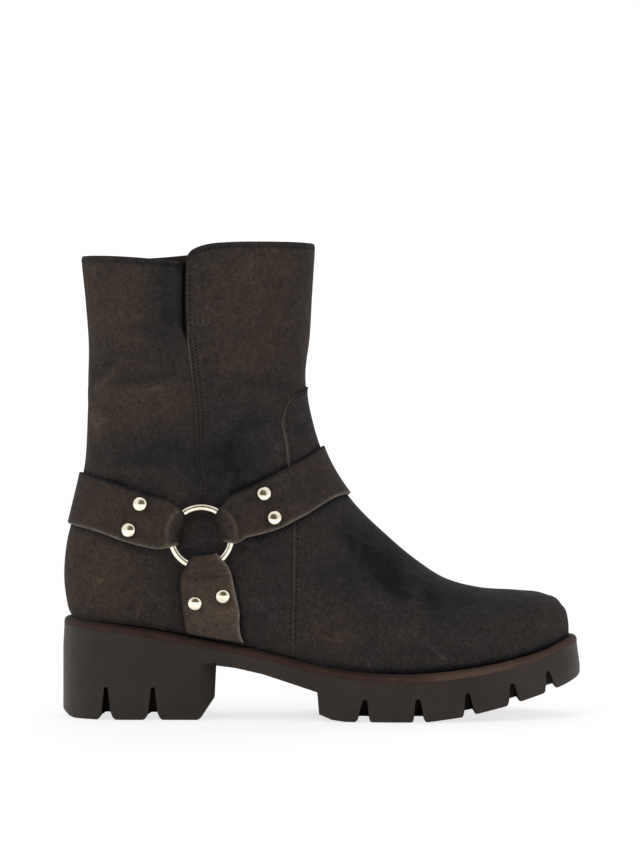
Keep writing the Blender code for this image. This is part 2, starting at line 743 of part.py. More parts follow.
def make_outsole():
    def low(x):
        return np.full_like(x, BLANK_BOTTOM)

    def shoulder(x):
        return sole_top(x) - TAPER_HEIGHT

    def plateau(x):
        return feather_z(x) - GAP

    rings = [
        outline_ring(0, 0, low),
        outline_ring(0, 0, shoulder),
        outline_ring(SOLE_TAPER_HEEL, SOLE_TAPER_FORE, sole_top),
        outline_ring(PLATEAU_INSET + GAP, PLATEAU_INSET + GAP, sole_top),
        outline_ring(PLATEAU_INSET + GAP, PLATEAU_INSET + GAP, plateau),
    ]
    rubber = material("sole_rubber", (0.030, 0.024, 0.021), 0.60)
    outsole = add_part("outsole", loft("outsole", rings, closed=False), rubber)
    profile = add_cutter("sole_profile", prism("sole_profile", underside_outline(), "Y", -FAR_Y, FAR_Y))
    cut(outsole, profile, "INTERSECT")
    for side, word in ((LATERAL, "outer"), (MEDIAL, "inner")):
        for number, middle in enumerate(HEEL_SLOTS, 1):
            edge = float(swing(middle) + side * outline_half(middle, side, 0, 0))
            outline = (
                (middle - SLOT_FOOT_WIDTH / 2, SLOT_FOOT_Z - SLOT_OVERLAP),
                (middle + SLOT_FOOT_WIDTH / 2, SLOT_FOOT_Z - SLOT_OVERLAP),
                (middle + SLOT_TOP_WIDTH / 2, SLOT_TOP_Z),
                (middle - SLOT_TOP_WIDTH / 2, SLOT_TOP_Z),
            )
            reach = sorted((edge - side * SLOT_DEPTH, side * FAR_Y))
            name = f"heel_slot_{word}_{number}"
            cut(outsole, add_cutter(name, prism(name, outline, "Y", *reach)), "DIFFERENCE")
        edge = float(swing(BREAST_X) + side * outline_half(BREAST_X, side, 0, 0))
        beyond = side * CHAMFER_OVERSHOOT
        corner = (
            (BREAST_X - BREAST_CHAMFER - CHAMFER_OVERSHOOT, edge + beyond),
            (BREAST_X + CHAMFER_OVERSHOOT, edge - side * BREAST_CHAMFER - beyond),
            (BREAST_X + CHAMFER_OVERSHOOT, edge + beyond),
        )
        name = f"breast_corner_{word}"
        cut(outsole, add_cutter(name, prism(name, corner, "Z", BLANK_BOTTOM, BREAST_CHAMFER_TOP)), "DIFFERENCE")


def make_welt():
    def foot(x):
        return sole_top(x) + WELT_GAP

    def head(x):
        return feather_z(x) - GAP

    def bevel(x):
        return head(x) - WELT_BEVEL

    rings = [
        outline_ring(SOLE_TAPER_HEEL, SOLE_TAPER_FORE, foot),
        outline_ring(SOLE_TAPER_HEEL, SOLE_TAPER_FORE, bevel),
        outline_ring(SOLE_TAPER_HEEL + WELT_BEVEL, SOLE_TAPER_FORE + WELT_BEVEL, head),
        outline_ring(PLATEAU_INSET, PLATEAU_INSET, head),
        outline_ring(PLATEAU_INSET, PLATEAU_INSET, foot),
    ]
    leather = material("welt_leather", (0.085, 0.036, 0.026), 0.55)
    add_part("welt", loft("welt", rings, closed=True), leather)


def make_insole():
    def foot(x):
        return feather_z(x) + GAP

    def head(x):
        return feather_z(x) + GAP + INSOLE_THICKNESS

    inset = (FEATHER_INSET_HEEL + WALL + INSOLE_CLEAR_HEEL, FEATHER_INSET_FORE + WALL + INSOLE_CLEAR_FORE)
    rings = [outline_ring(*inset, foot), outline_ring(*inset, head)]
    board = material("insole_leather", (0.14, 0.095, 0.062), 0.80)
    add_part("insole", loft("insole", rings, closed=False), board)


def make_upper():
    rows = [(math.radians(angle), 0.0) for angle in FOOT_ROWS_DEG]
    corner_row = len(rows) + 1
    rows = [(TOE_ANGLE, 0.0)] + rows + [(HEEL_ANGLE, 0.0)]
    rows += [(math.radians(angle), 0.0) for angle in SHAFT_ROWS_DEG]
    rows += [(COLLAR_BASE, climb) for climb in COLLAR_ROWS]
    outer = []
    inner = []
    for angle, climb in rows:
        outer_half, inner_half = upper_half(angle, climb, LATERAL)
        outer_far, inner_far = upper_half(angle, climb, MEDIAL)
        outer.append(np.vstack([outer_half[::-1], outer_far[1:]]))
        inner.append(np.vstack([inner_half[::-1], inner_far[1:]]))
    outer[0][:] = (RIDGE[0][0], swing(RIDGE[0][0]), RIDGE[0][1])
    inner[0][:] = outer[0][0] - np.array([WALL, 0, 0])
    count = len(outer[0])
    points = np.vstack(outer + inner)
    under = len(rows) * count
    faces = []
    for i in range(len(rows) - 1):
        for j in range(count - 1):
            quad = (i * count + j, i * count + j + 1, (i + 1) * count + j + 1, (i + 1) * count + j)
            faces.append(quad)
            faces.append(tuple(under + k for k in reversed(quad)))
    for i in range(corner_row):
        for j in (0, count - 1):
            edge = (i * count + j, (i + 1) * count + j)
            faces.append((edge[0], edge[1], under + edge[1], under + edge[0]))
    top = (len(rows) - 1) * count
    for j in range(count - 1):
        faces.append((top + j, top + j + 1, under + top + j + 1, under + top + j))
    leather = material("upper_leather", (0.062, 0.046, 0.040), 0.80)
    add_part("upper", join_mesh("upper", points, faces), leather)


def harness_place(side, x, z, before):
    """Place of a strap edge on the skin as fan angle and running turn.

    The running turn goes 0 to 1 down the outer side, 1 to 2 up the inner side to the ridge and on from 2 down
    the outer side again. side None means the back line or the ridge.
    """
    angle, turn = locate(x, z)
    if side is None:
        return float(angle), 1.0 if before < 1.5 else 2.0
    if side == MEDIAL:
        return float(angle), 2.0 - float(turn)
    return float(angle), float(turn) + (2.0 if before >= 1.5 else 0.0)


def strap_edges(table):
    """Smooth edge lines of a strap over the skin, by distance along its middle."""
    edges = [[], []]
    before = 0.5
    for side, *places in table:
        for edge, place in zip(edges, (places[:2], places[2:])):
            edge.append(harness_place(side, *place, before))
        before = edges[0][-1][1]
    first, second = np.array(edges)
    middle = on_skin((first[:, 0] + second[:, 0]) / 2, (first[:, 1] + second[:, 1]) / 2, 0.0)
    gone = np.concatenate([[0], np.cumsum(np.linalg.norm(np.diff(middle, axis=0), axis=1))])
    lines = [through(gone, edge[:, k]) for edge in (first, second) for k in (0, 1)]
    return gone, lines


def on_skin(angle, running, height):
    """Point at a height over the upper, by fan angle and running turn."""
    angle = np.asarray(angle, float)
    running = np.asarray(running, float)
    medial = (running > 1) & (running < 2)
    turn = np.where(medial, 2 - running, np.where(running >= 2, running - 2, running))
    place = np.where(medial[..., None], skin(angle, turn, MEDIAL), skin(angle, turn, LATERAL))
    normal = np.where(medial[..., None], skin_normal(angle, turn, MEDIAL), skin_normal(angle, turn, LATERAL))
    return place + normal * (strap_lift(angle, turn) + height)[..., None]


def strap_rows(lines, distance, height):
    """Grid of points across the strap at distances along it, at a height over the skin."""
    share = np.linspace(0, 1, STRAP_COLUMNS + 1)[None, :]
    distance = np.asarray(distance, float)[:, None]
    first_angle, first_turn, second_angle, second_turn = [line(distance) for line in lines]
    angle = first_angle + (second_angle - first_angle) * share
    running = first_turn + (second_turn - first_turn) * share
    return on_skin(angle, running, np.broadcast_to(np.asarray(height, float)[:, None], angle.shape))


def ring_frame():
    """Middle of the ring and its directions: towards the toe, upwards along the leather, and outwards."""
    angle, turn = locate(RING_X, RING_Z)
    normal = skin_normal(angle, turn, LATERAL)
    middle = skin(angle, turn, LATERAL) + normal * RING_LIFT
    forward = np.cross(np.array([0.0, 0.0, 1.0]), normal) * -1.0
    forward = forward * np.sign(forward[0]) / np.linalg.norm(forward)
    upward = np.cross(normal, forward)
    upward *= np.sign(upward[2])
    return middle, forward, upward, normal


def wrap_rows(word):
    """Grid of a strap end's middle layer round the ring's wire, from over the ring to under it."""
    middle, forward, upward, normal = ring_frame()
    bend = RING_WIRE / 2 + GAP + STRAP_THICKNESS / 2
    first, second = WRAPS[word]
    around = np.radians(np.linspace(first, second, STRAP_COLUMNS + 1))[None, :, None]
    about = np.radians(np.linspace(*WRAP_TURN, WRAP_ROWS))[:, None, None]
    radius = RING_RADIUS - bend * np.sin(about)
    outward = forward * np.cos(around) + upward * np.sin(around)
    return middle + outward * radius + normal * bend * np.cos(about)


def looped_end(word, lines, start, into, under_length):
    """Rows of a strap's end: the wrap round the ring, then the tail that lies under the strap."""
    single = GAP + STRAP_THICKNESS / 2
    wrap = wrap_rows(word)
    tail = start + into * np.linspace(0.0, under_length, TAIL_ROWS)
    return np.concatenate([wrap, strap_rows(lines, tail, np.full(len(tail), single))])


def strap_height(distance, under_length):
    """Height of the strap's middle: two layers near the ring, then one."""
    single = GAP + STRAP_THICKNESS / 2
    double = single + GAP + STRAP_THICKNESS
    fall = smooth_step((distance - under_length - TAIL_CLEAR) / TAIL_FALL)
    return double + (single - double) * fall


def make_straps():
    leather = material("strap_leather", (0.072, 0.052, 0.043), 0.78)
    gone, lines = strap_edges(HARNESS)
    length = gone[-1]
    distance = np.linspace(0, length, int(length / STRAP_STEP) + 1)
    near_end = np.minimum(distance, length - distance)
    body = strap_rows(lines, distance, strap_height(near_end, HARNESS_TAIL))
    rear_end = looped_end("rear", lines, 0.0, 1.0, HARNESS_TAIL)
    front_end = looped_end("front", lines, length, -1.0, HARNESS_TAIL)
    harness = np.concatenate([rear_end[::-1], body, front_end])
    add_part("harness_strap", sheet_mesh("harness_strap", harness, STRAP_THICKNESS), leather)

    gone, lines = strap_edges(STIRRUP)
    length = gone[-1]
    distance = np.linspace(0, length, int(length / STRAP_STEP) + 1)
    body = strap_rows(lines, distance, strap_height(distance, STIRRUP_TAIL))
    stirrup_end = looped_end("stirrup", lines, 0.0, 1.0, STIRRUP_TAIL)
    stirrup = np.concatenate([stirrup_end[::-1], body])
    stirrup[..., 2] = np.maximum(stirrup[..., 2], feather_z(stirrup[..., 0]) + 2 * GAP)
    add_part("stirrup_strap", sheet_mesh("stirrup_strap", stirrup, STRAP_THICKNESS), leather)


def facing(place, forward, normal):
    """Placement with local Z outwards and local X along a direction."""
    normal = Vector(normal).normalized()
    forward = (Vector(forward) - normal * normal.dot(Vector(forward))).normalized()
    side = normal.cross(forward)
    matrix = Matrix((forward, side, normal)).transposed().to_4x4()
    matrix.translation = Vector(place)
    return matrix


def make_ring():
    nickel = material("polished_nickel", (0.62, 0.60, 0.54), 0.16, 1.0)
    bpy.ops.mesh.primitive_torus_add(major_radius=RING_RADIUS, minor_radius=RING_WIRE / 2,
                                     major_segments=RING_SIDES, minor_segments=WIRE_SIDES)
    made = bpy.context.object
    mesh = made.data
    bpy.data.objects.remove(made)
    mesh.name = "ring"
    mesh.shade_smooth()
    ring = add_part("ring", mesh, nickel)
    middle, forward, _, normal = ring_frame()
    ring.matrix_world = facing(middle, forward, normal)


def stud_mesh():
    """Turned rivet head: a dome on a short straight rim."""
    dome = STUD_HEIGHT - STUD_RIM
    turn = np.linspace(0, math.pi / 2, STUD_STEPS)
    profile = [(STUD_RADIUS * math.sin(t), STUD_RIM + dome * math.cos(t)) for t in turn]
    profile += [(STUD_RADIUS, 0.0), (0.0, 0.0)]
    mesh = bpy.data.meshes.new("stud")
    edges = [(i, i + 1) for i in range(len(profile) - 1)]
    mesh.from_pydata([(x, 0.0, z) for x, z in profile], edges, [])
    return mesh


def make_studs():
    nickel = material("stud_nickel", (0.60, 0.57, 0.50), 0.20, 1.0)
    mesh = stud_mesh()
    mesh.materials.append(nickel)
    height = 3 * GAP + 2 * STRAP_THICKNESS + STUD_SEAT
    for name, x, z in STUDS:
        angle, turn = locate(x, z)
        normal = skin_normal(angle, turn, LATERAL)
        place = skin(angle, turn, LATERAL) + normal * (strap_lift(angle, turn) + height)
        stud = bpy.data.objects.new(name, mesh)
        parts.objects.link(stud)
        stud.parent = boot
        stud.matrix_world = facing(place, (1, 0, 0), normal)
        screw = stud.modifiers.new("turn", "SCREW")
        screw.steps = STUD_SIDES
        screw.render_steps = STUD_SIDES
        screw.use_merge_vertices = True
        screw.merge_threshold = MERGE
        screw.use_smooth_shade = True


for old in list(bpy.data.objects):
    bpy.data.objects.remove(old)
parts = bpy.data.collections.new("ankle_boot")
cutters = bpy.data.collections.new("cutters")
bpy.context.scene.collection.children.link(parts)
bpy.context.scene.collection.children.link(cutters)
boot = bpy.data.objects.new("boot", None)
parts.objects.link(boot)

make_outsole()
make_welt()
make_insole()
make_upper()
make_straps()
make_ring()
make_studs()
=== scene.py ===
import math

import bmesh
import bpy
import numpy as np
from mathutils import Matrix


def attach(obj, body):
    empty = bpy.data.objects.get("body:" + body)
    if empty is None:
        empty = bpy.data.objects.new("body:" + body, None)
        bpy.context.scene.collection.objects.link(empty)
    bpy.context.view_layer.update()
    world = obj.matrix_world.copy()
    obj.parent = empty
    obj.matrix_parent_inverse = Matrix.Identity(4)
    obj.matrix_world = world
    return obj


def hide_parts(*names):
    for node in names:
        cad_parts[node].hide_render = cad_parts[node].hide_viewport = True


# Right ankle boot with a ring harness. Metres, toe towards +X, outer side towards -Y.
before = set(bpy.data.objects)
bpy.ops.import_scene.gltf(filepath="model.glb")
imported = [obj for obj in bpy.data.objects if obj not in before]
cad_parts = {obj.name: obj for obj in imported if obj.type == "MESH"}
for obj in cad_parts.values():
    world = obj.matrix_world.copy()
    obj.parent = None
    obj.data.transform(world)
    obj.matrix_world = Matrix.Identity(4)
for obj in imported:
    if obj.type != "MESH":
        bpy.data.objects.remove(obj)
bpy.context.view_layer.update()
print("frame loaded:", len(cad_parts), "nodes")

outer, inner = -1.0, 1.0                     # the two sides of the boot, as signs of Y

# Camera, floor and light

studio = {
    "cameraPlace": (-0.00107, -1.7, 0.153),  # level view square to the outer side
    "frameHeight": 0.4552,                   # metres of the boot's middle plane in the picture's height
    "sensor": 36.0,
    "floorRadius": 9.0,
    "floorSides": 48,
    "floorDrop": 0.0002,
    "floorRough": 0.9,
    "floorGloss": 0.1,
    "floorSeen": 0.17,                       # share of the floor's shading that the camera sees
    "floorGlow": (0.745, 0.820),             # and its own glow, near and far
    "floorFar": (1.2, 3.2),
    "worldStrength": 1.10,
    "roomDark": (0.13, 0.105, 0.055),        # unlit part of the room behind the camera, seen in the metal
    "roomDarkWay": (0.05, -0.96, 0.26),
    "roomDarkCosine": (0.70, 0.95),
    # place, aimed at, width, height, watts, colour
    "lamps": (
        ((-0.9, -1.3, 1.5), (0.0, 0.0, 0.10), 1.0, 1.0, 20.0, (1.0, 0.99, 0.97)),
        ((1.2, -1.0, 1.0), (0.0, 0.0, 0.10), 0.8, 0.8, 9.0, (1.0, 0.99, 0.98)),
        ((0.1, 1.3, 1.4), (0.0, 0.0, 0.10), 1.2, 0.8, 13.0, (1.0, 1.0, 1.0)),
    ),
}


def aimed(place, target):
    # turn that points local -Z from place to target
    back = np.array(place) - np.array(target)
    flat = math.hypot(back[0], back[1])
    return (math.atan2(flat, back[2]), 0.0, math.atan2(back[0], -back[1]))


def setStudio():
    scene = bpy.context.scene
    scene.view_settings.view_transform = "Standard"
    lens = bpy.data.cameras.new("camera")
    lens.sensor_width = studio["sensor"]
    lens.lens = studio["sensor"] * -studio["cameraPlace"][1] / studio["frameHeight"]
    camera = bpy.data.objects.new("camera", lens)
    camera.location = studio["cameraPlace"]
    camera.rotation_euler = (math.pi / 2, 0.0, 0.0)
    scene.collection.objects.link(camera)
    scene.camera = camera
    for number, (place, target, width, height, watts, colour) in enumerate(studio["lamps"]):
        data = bpy.data.lights.new(f"softbox{number}", "AREA")
        data.shape = "RECTANGLE"
        data.size, data.size_y = width, height
        data.energy = watts
        data.color = colour
        lamp = bpy.data.objects.new(data.name, data)
        lamp.location = place
        lamp.rotation_euler = aimed(place, target)
        lamp.visible_glossy = False
        scene.collection.objects.link(lamp)
    world = bpy.data.worlds.new("studio")
    world.use_nodes = True
    tree = world.node_tree
    sky = tree.nodes["Background"]
    sky.inputs["Strength"].default_value = studio["worldStrength"]
    # white all round, with a dim warm spot behind the camera that only reflections and light see
    toward = addNode(tree, "ShaderNodeVectorMath", operation="DOT_PRODUCT")
    tree.links.new(addNode(tree, "ShaderNodeTexCoord").outputs["Generated"], toward.inputs[0])
    toward.inputs[1].default_value = studio["roomDarkWay"]
    start, full = studio["roomDarkCosine"]
    spot = addNode(tree, "ShaderNodeMapRange", interpolation_type="SMOOTHSTEP", Value=toward.outputs["Value"],
                   From_Min=start, From_Max=full)
    seen = addNode(tree, "ShaderNodeLightPath").outputs["Is Camera Ray"]
    unseen = maths(tree, "MULTIPLY", spot.outputs["Result"], maths(tree, "SUBTRACT", 1.0, seen))
    tree.links.new(mixColour(tree, unseen, (1.0, 1.0, 1.0), studio["roomDark"]), sky.inputs["Color"])
    scene.world = world
    # flat disc: radius and turn on a grid
    radius, turn = np.meshgrid((0.0, 0.5, 1.0), circle(studio["floorSides"]), indexing="ij")
    disc = np.stack([radius * np.cos(turn), radius * np.sin(turn), 0 * turn], axis=-1) * studio["floorRadius"]
    disc[..., 2] = -studio["floorDrop"]
    floor = makePiece("floor", disc, gridFaces(*turn.shape, wrapColumns=True), [paleFloor()])


def paleFloor():
    # white paper whose shadows stay light: the camera sees a glow under part of the shading
    finish, tree, shader = newFinish("paleFloor")
    away = addNode(tree, "ShaderNodeVectorMath", operation="LENGTH")
    tree.links.new(ownPlace(tree), away.inputs[0])
    (near, far), (nearGlow, farGlow) = studio["floorFar"], studio["floorGlow"]
    glow = addNode(tree, "ShaderNodeMapRange", Value=away.outputs["Value"], From_Min=near, From_Max=far,
                   To_Min=nearGlow, To_Max=farGlow)
    seen = addNode(tree, "ShaderNodeBsdfPrincipled", Emission_Color=glow.outputs["Result"],
                   Emission_Strength=1.0)
    for look, amount in ((shader, 1.0), (seen, studio["floorSeen"])):
        feed(tree, look, Base_Color=(amount, amount, amount, 1.0), Roughness=studio["floorRough"],
             Specular_IOR_Level=studio["floorGloss"])
    mixed = addNode(tree, "ShaderNodeMixShader")
    tree.links.new(addNode(tree, "ShaderNodeLightPath").outputs["Is Camera Ray"], mixed.inputs[0])
    tree.links.new(shader.outputs["BSDF"], mixed.inputs[1])
    tree.links.new(seen.outputs["BSDF"], mixed.inputs[2])
    tree.links.new(mixed.outputs["Shader"], tree.nodes["Material Output"].inputs["Surface"])
    return finish


# Mesh helpers

meshing = {"merge": 0.00001, "thinnest": 0.000005, "sharpDeg": 50.0}


def circle(count):
    return np.linspace(0, 2 * math.pi, count + 1)[:-1]


def unit(vectors):
    return vectors / np.maximum(np.linalg.norm(vectors, axis=-1, keepdims=True), 1e-12)


def distanceAlong(path):
    return np.concatenate([[0], np.cumsum(np.linalg.norm(np.diff(path, axis=0), axis=1))])


def gridFaces(rows, columns, wrapRows=False, wrapColumns=False):
    # quads between neighbours of a grid, row by row
    i = np.arange(rows if wrapRows else rows - 1)[:, None]
    j = np.arange(columns if wrapColumns else columns - 1)[None, :]
    nextRow, nextColumn = (i + 1) % rows, (j + 1) % columns
    row, above = i * columns, nextRow * columns
    return np.stack([row + j, row + nextColumn, above + nextColumn, above + j], axis=-1).reshape(-1, 4)


def makePiece(name, points, faces, finishes, sharpDeg=meshing["sharpDeg"], fields=None, faceFinish=None):
    # mesh at the origin, coinciding points merged and faces turned outwards; faces in one array or several
    mesh = bpy.data.meshes.new(name)
    blocks = [faces] if isinstance(faces, np.ndarray) else faces
    corners = [face for block in blocks for face in block.tolist()]
    mesh.from_pydata(points.reshape(-1, 3).tolist(), [], corners)
    for finish in finishes:
        mesh.materials.append(finish)
    for field, values in (fields or {}).items():
        layer = mesh.attributes.new(field, "FLOAT", "POINT")
        layer.data.foreach_set("value", np.ascontiguousarray(values, dtype=np.float32).ravel())
    if faceFinish is not None:
        mesh.polygons.foreach_set("material_index", np.asarray(faceFinish, dtype=np.int32))
    work = bmesh.new()
    work.from_mesh(mesh)
    bmesh.ops.remove_doubles(work, verts=work.verts, dist=meshing["merge"])
    bmesh.ops.dissolve_degenerate(work, edges=work.edges, dist=meshing["thinnest"])
    bmesh.ops.recalc_face_normals(work, faces=work.faces)
    work.to_mesh(mesh)
    work.free()
    mesh.shade_smooth()
    mesh.set_sharp_from_angle(angle=math.radians(sharpDeg))
    piece = bpy.data.objects.new(name, mesh)
    bpy.context.scene.collection.objects.link(piece)
    return piece


def settle(piece, slot, *nodes):
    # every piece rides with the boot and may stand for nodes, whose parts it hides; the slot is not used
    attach(piece, "root")
    if nodes:
        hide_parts(*nodes)
    triangles = sum(len(face.vertices) - 2 for face in piece.data.polygons)
    print(f"{piece.name}: {triangles} triangles")


# Curves

def smoothStep(value):
    value = np.clip(value, 0.0, 1.0)
    return value * value * (3 - 2 * value)


def between(value, low, high):
    return smoothStep((value - low) / (high - low))


def bell(value):
    return np.exp(-np.square(value))


def curveThrough(xs, ys):
    # cubic through the points, each tangent weighted from the slopes on its two sides
    xs, ys = np.asarray(xs, float), np.asarray(ys, float)
    step = np.diff(xs)
    slope = np.diff(ys) / step
    tangent = np.empty_like(ys)
    tangent[1:-1] = (slope[:-1] * step[1:] + slope[1:] * step[:-1]) / (step[:-1] + step[1:])
    tangent[0] = 1.5 * slope[0] - 0.5 * tangent[1]
    tangent[-1] = 1.5 * slope[-1] - 0.5 * tangent[-2]

    def curve(x):
        x = np.clip(np.asarray(x, float), xs[0], xs[-1])
        i = np.clip(np.searchsorted(xs, x, side="right") - 1, 0, len(step) - 1)
        t = (x - xs[i]) / step[i]
        rise = ys[i + 1] - ys[i]
        start, end = tangent[i] * step[i], tangent[i + 1] * step[i]
        return ys[i] + start * t + (3 * rise - 2 * start - end) * t ** 2 + (start + end - 2 * rise) * t ** 3

    return curve


# Form of the last: sections fan out from a pivot in front of the ankle

last = {
    "pivot": (0.150, 0.250),
    "soleBack": -0.1378,
    "soleTip": 0.1378,
    "heelCentre": -0.1010,
    "toeStart": 0.0600,
    "toeSwing": 0.0060,                      # the toe tip lies this far towards the inner side
    "swingStart": -0.0200,
    "waist": (-0.0600, 0.0300),
    "roundness": 2.3,                        # power of the round ends of the plan
    "featherInset": (0.0032, 0.0056),        # foot of the upper in from the sole's edge: heel, forefoot
    "forefootDeg": 26.0,                     # up to here a section has the sole's width
    "ankleDeg": 46.0,                        # from here on the ankle's
    # x, half width to the outer side, half width to the inner side
    "plan": (
        (-0.1010, 0.0350, 0.0350), (-0.0600, 0.0358, 0.0333), (-0.0250, 0.0398, 0.0299),
        (0.0100, 0.0472, 0.0353), (0.0380, 0.0519, 0.0427), (0.0600, 0.0528, 0.0462),
        (0.0850, 0.0515, 0.0466), (0.1100, 0.0482, 0.0444), (0.1378, 0.0440, 0.0410),
    ),
    # x, z where the upper meets the welt
    "feather": (
        (-0.1343, 0.0530), (-0.1150, 0.0510), (-0.0930, 0.0480), (-0.0560, 0.0412), (-0.0310, 0.0365),
        (-0.0020, 0.0294), (0.0220, 0.0258), (0.0470, 0.0250), (0.0750, 0.0274), (0.1010, 0.0320),
        (0.1170, 0.0362), (0.1322, 0.0427),
    ),
    # x, z of the top line of the foot and the front of the shaft
    "ridge": (
        (0.1322, 0.0427), (0.1313, 0.0510), (0.1277, 0.0587), (0.1187, 0.0640), (0.1040, 0.0660),
        (0.0840, 0.0675), (0.0656, 0.0725), (0.0506, 0.0820), (0.0350, 0.0950), (0.0160, 0.1140),
        (0.0010, 0.1380), (-0.0055, 0.1580), (-0.0088, 0.1800), (-0.0066, 0.2000), (-0.0053, 0.2220),
        (-0.0035, 0.2500), (-0.0030, 0.2570),
    ),
    # x, z of the back line of heel and shaft
    "back": (
        (-0.1343, 0.0530), (-0.1373, 0.0720), (-0.1362, 0.0900), (-0.1318, 0.1090), (-0.1266, 0.1320),
        (-0.1251, 0.1520), (-0.1246, 0.1780), (-0.1243, 0.1960), (-0.1258, 0.2180), (-0.1285, 0.2440),
        (-0.1298, 0.2560),
    ),
    # degrees, place of the widest point, fullness beside the ridge, swell of the forefoot, half width,
    # tail power
    "sections": (
        (4.0, 0.80, 0.16, 1.02, 0.0380, 2.0), (12.0, 0.78, 0.16, 1.03, 0.0380, 2.0),
        (20.0, 0.74, 0.10, 1.03, 0.0380, 2.0), (30.0, 0.70, 0.00, 1.03, 0.0380, 2.0),
        (40.0, 0.62, -0.03, 1.03, 0.0374, 2.2), (48.0, 0.56, 0.00, 1.03, 0.0370, 2.4),
        (52.0, 0.53, 0.04, 1.03, 0.0370, 2.6), (55.3, 0.52, 0.05, 1.03, 0.0370, 2.7),
        (60.0, 0.50, 0.08, 1.03, 0.0368, 2.5), (66.0, 0.50, 0.10, 1.03, 0.0364, 2.3),
        (74.0, 0.50, 0.10, 1.03, 0.0375, 2.2), (82.0, 0.50, 0.12, 1.03, 0.0390, 2.2),
        (92.0, 0.50, 0.12, 1.03, 0.0402, 2.2),
    ),
}


def polar(x, z):
    # fan angle and reach of a side-view place seen from the pivot
    aside, down = last["pivot"][0] - x, last["pivot"][1] - z
    return np.arctan2(aside, down), np.hypot(aside, down)


def sidePoint(angle, reach):
    return last["pivot"][0] - reach * np.sin(angle), last["pivot"][1] - reach * np.cos(angle)


def reachCurve(table):
    angle, reach = polar(*np.array(table).T)
    order = np.argsort(angle)
    return curveThrough(angle[order], reach[order])


planX, *planSides = np.array(last["plan"]).T
planHalf = {side: curveThrough(planX, half) for side, half in zip((outer, inner), planSides)}
featherZ = curveThrough(*np.array(last["feather"]).T)
ridgeReach, featherReach, backReach = [reachCurve(last[line]) for line in ("ridge", "feather", "back")]
sectionDeg, *sectionValues = np.array(last["sections"]).T
sectionForm = [curveThrough(np.radians(sectionDeg), values) for values in sectionValues]
toeAngle = float(polar(*last["ridge"][0])[0])
heelAngle = float(polar(*last["back"][0])[0])


def swing(x):
    return last["toeSwing"] * between(x, last["swingStart"], last["soleTip"])


def outlineHalf(x, side, insetHeel, insetFore):
    # half width of the plan drawn in by the insets, closing at heel and toe: root of 1 - t to a power
    half = planHalf[side](x) - (insetHeel + (insetFore - insetHeel) * between(x, *last["waist"]))
    back, tip = last["soleBack"] + insetHeel, last["soleTip"] - insetFore
    heel = np.clip((last["heelCentre"] - x) / (last["heelCentre"] - back), 0.0, 1.0)
    toe = np.clip((x - last["toeStart"]) / (tip - last["toeStart"]), 0.0, 1.0)
    return half * np.sqrt(1 - heel ** last["roundness"]) * np.sqrt(1 - toe ** last["roundness"])


def section(angle, side):
    # reach of ridge and tail, then widths and form of the section at a fan angle
    foot = angle <= heelAngle
    ridge = ridgeReach(angle)
    tail = np.maximum(np.where(foot, featherReach(angle), backReach(angle)), ridge)
    tailX, _ = sidePoint(angle, tail)
    edge = outlineHalf(tailX, side, *last["featherInset"])
    edge = np.where(foot & (angle > toeAngle) & (angle < heelAngle), edge, 0.0)
    widest, fullness, swell, body, power = [form(angle) for form in sectionForm]
    ankle = between(np.degrees(angle), last["forefootDeg"], last["ankleDeg"])
    width = np.maximum(swell * edge * (1 - ankle) + body * ankle, 1e-9)
    return ridge, tail, width, 1 - (edge / width) ** 2, widest, fullness, power


def skin(angle, turn, side):
    # turn 0 at the ridge to 1 at the sole or back: an ellipse with full shoulders up to the widest point,
    # then a curve that closes in to the foot line or the back line
    angle, turn = np.broadcast_arrays(np.asarray(angle, float), np.asarray(turn, float))
    ridge, tail, width, closing, widest, fullness, power = section(angle, side)
    cosine = np.cos(math.pi * turn)
    front = turn <= 0.5
    after = np.clip(-cosine, 0.0, 1.0)
    share = np.where(front, widest * (1 - cosine), widest + (1 - widest) * after)
    before = width * np.sin(math.pi * turn) * (1 + fullness * cosine ** 2)
    behind = width * np.sqrt(np.maximum(1 - closing * after ** power, 0.0))
    x, z = sidePoint(angle, ridge + (tail - ridge) * share)
    return np.stack([x, swing(x) + side * np.where(front, before, behind), z], axis=-1)


def shareToTurn(angle, share):
    widest = sectionForm[0](angle)
    share = np.clip(share, 0.0, 1.0)
    front = np.arccos(np.clip(1 - share / widest, -1.0, 1.0)) / math.pi
    after = np.arccos(-np.clip((share - widest) / (1 - widest), 0.0, 1.0)) / math.pi
    return np.where(share <= widest, front, after)


def turnToShare(angle, turn):
    widest = sectionForm[0](angle)
    cosine = np.cos(math.pi * turn)
    return np.where(turn <= 0.5, widest * (1 - cosine), widest - (1 - widest) * cosine)


def span(angle):
    ridge, tail = section(angle, outer)[:2]
    return np.maximum(tail - ridge, 1e-6)


def locate(x, z):
    # fan angle and turn at a side-view place
    angle, reach = polar(x, z)
    return angle, shareToTurn(angle, (reach - section(angle, outer)[0]) / span(angle))


def skinNormal(angle, turn, side):
    # cross product of small steps along both parameters, turned outwards
    angle, turn = np.broadcast_arrays(np.asarray(angle, float), np.asarray(turn, float))
    small = 0.002
    across = skin(angle, np.minimum(turn + small, 1), side) - skin(angle, np.maximum(turn - small, 0), side)
    low = np.maximum(angle - small, toeAngle + small)
    along = skin(np.maximum(angle, low) + small, turn, side) - skin(low, turn, side)
    normal = np.cross(across, along)
    middle = skin(angle, 0.5, outer) / 2 + skin(angle, 0.5, inner) / 2
    outward = np.sign(np.sum(normal * (skin(angle, turn, side) - middle), axis=-1, keepdims=True))
    normal = normal * np.where(outward == 0, 1.0, outward)
    flat = (turn <= 0) | ((turn >= 1) & (angle >= heelAngle))
    normal[..., 1] = np.where(flat, 0.0, normal[..., 1])
    return unit(normal)


# Upper: vamp over front quarter over rear quarter, with an open slit at the collar on the outer side

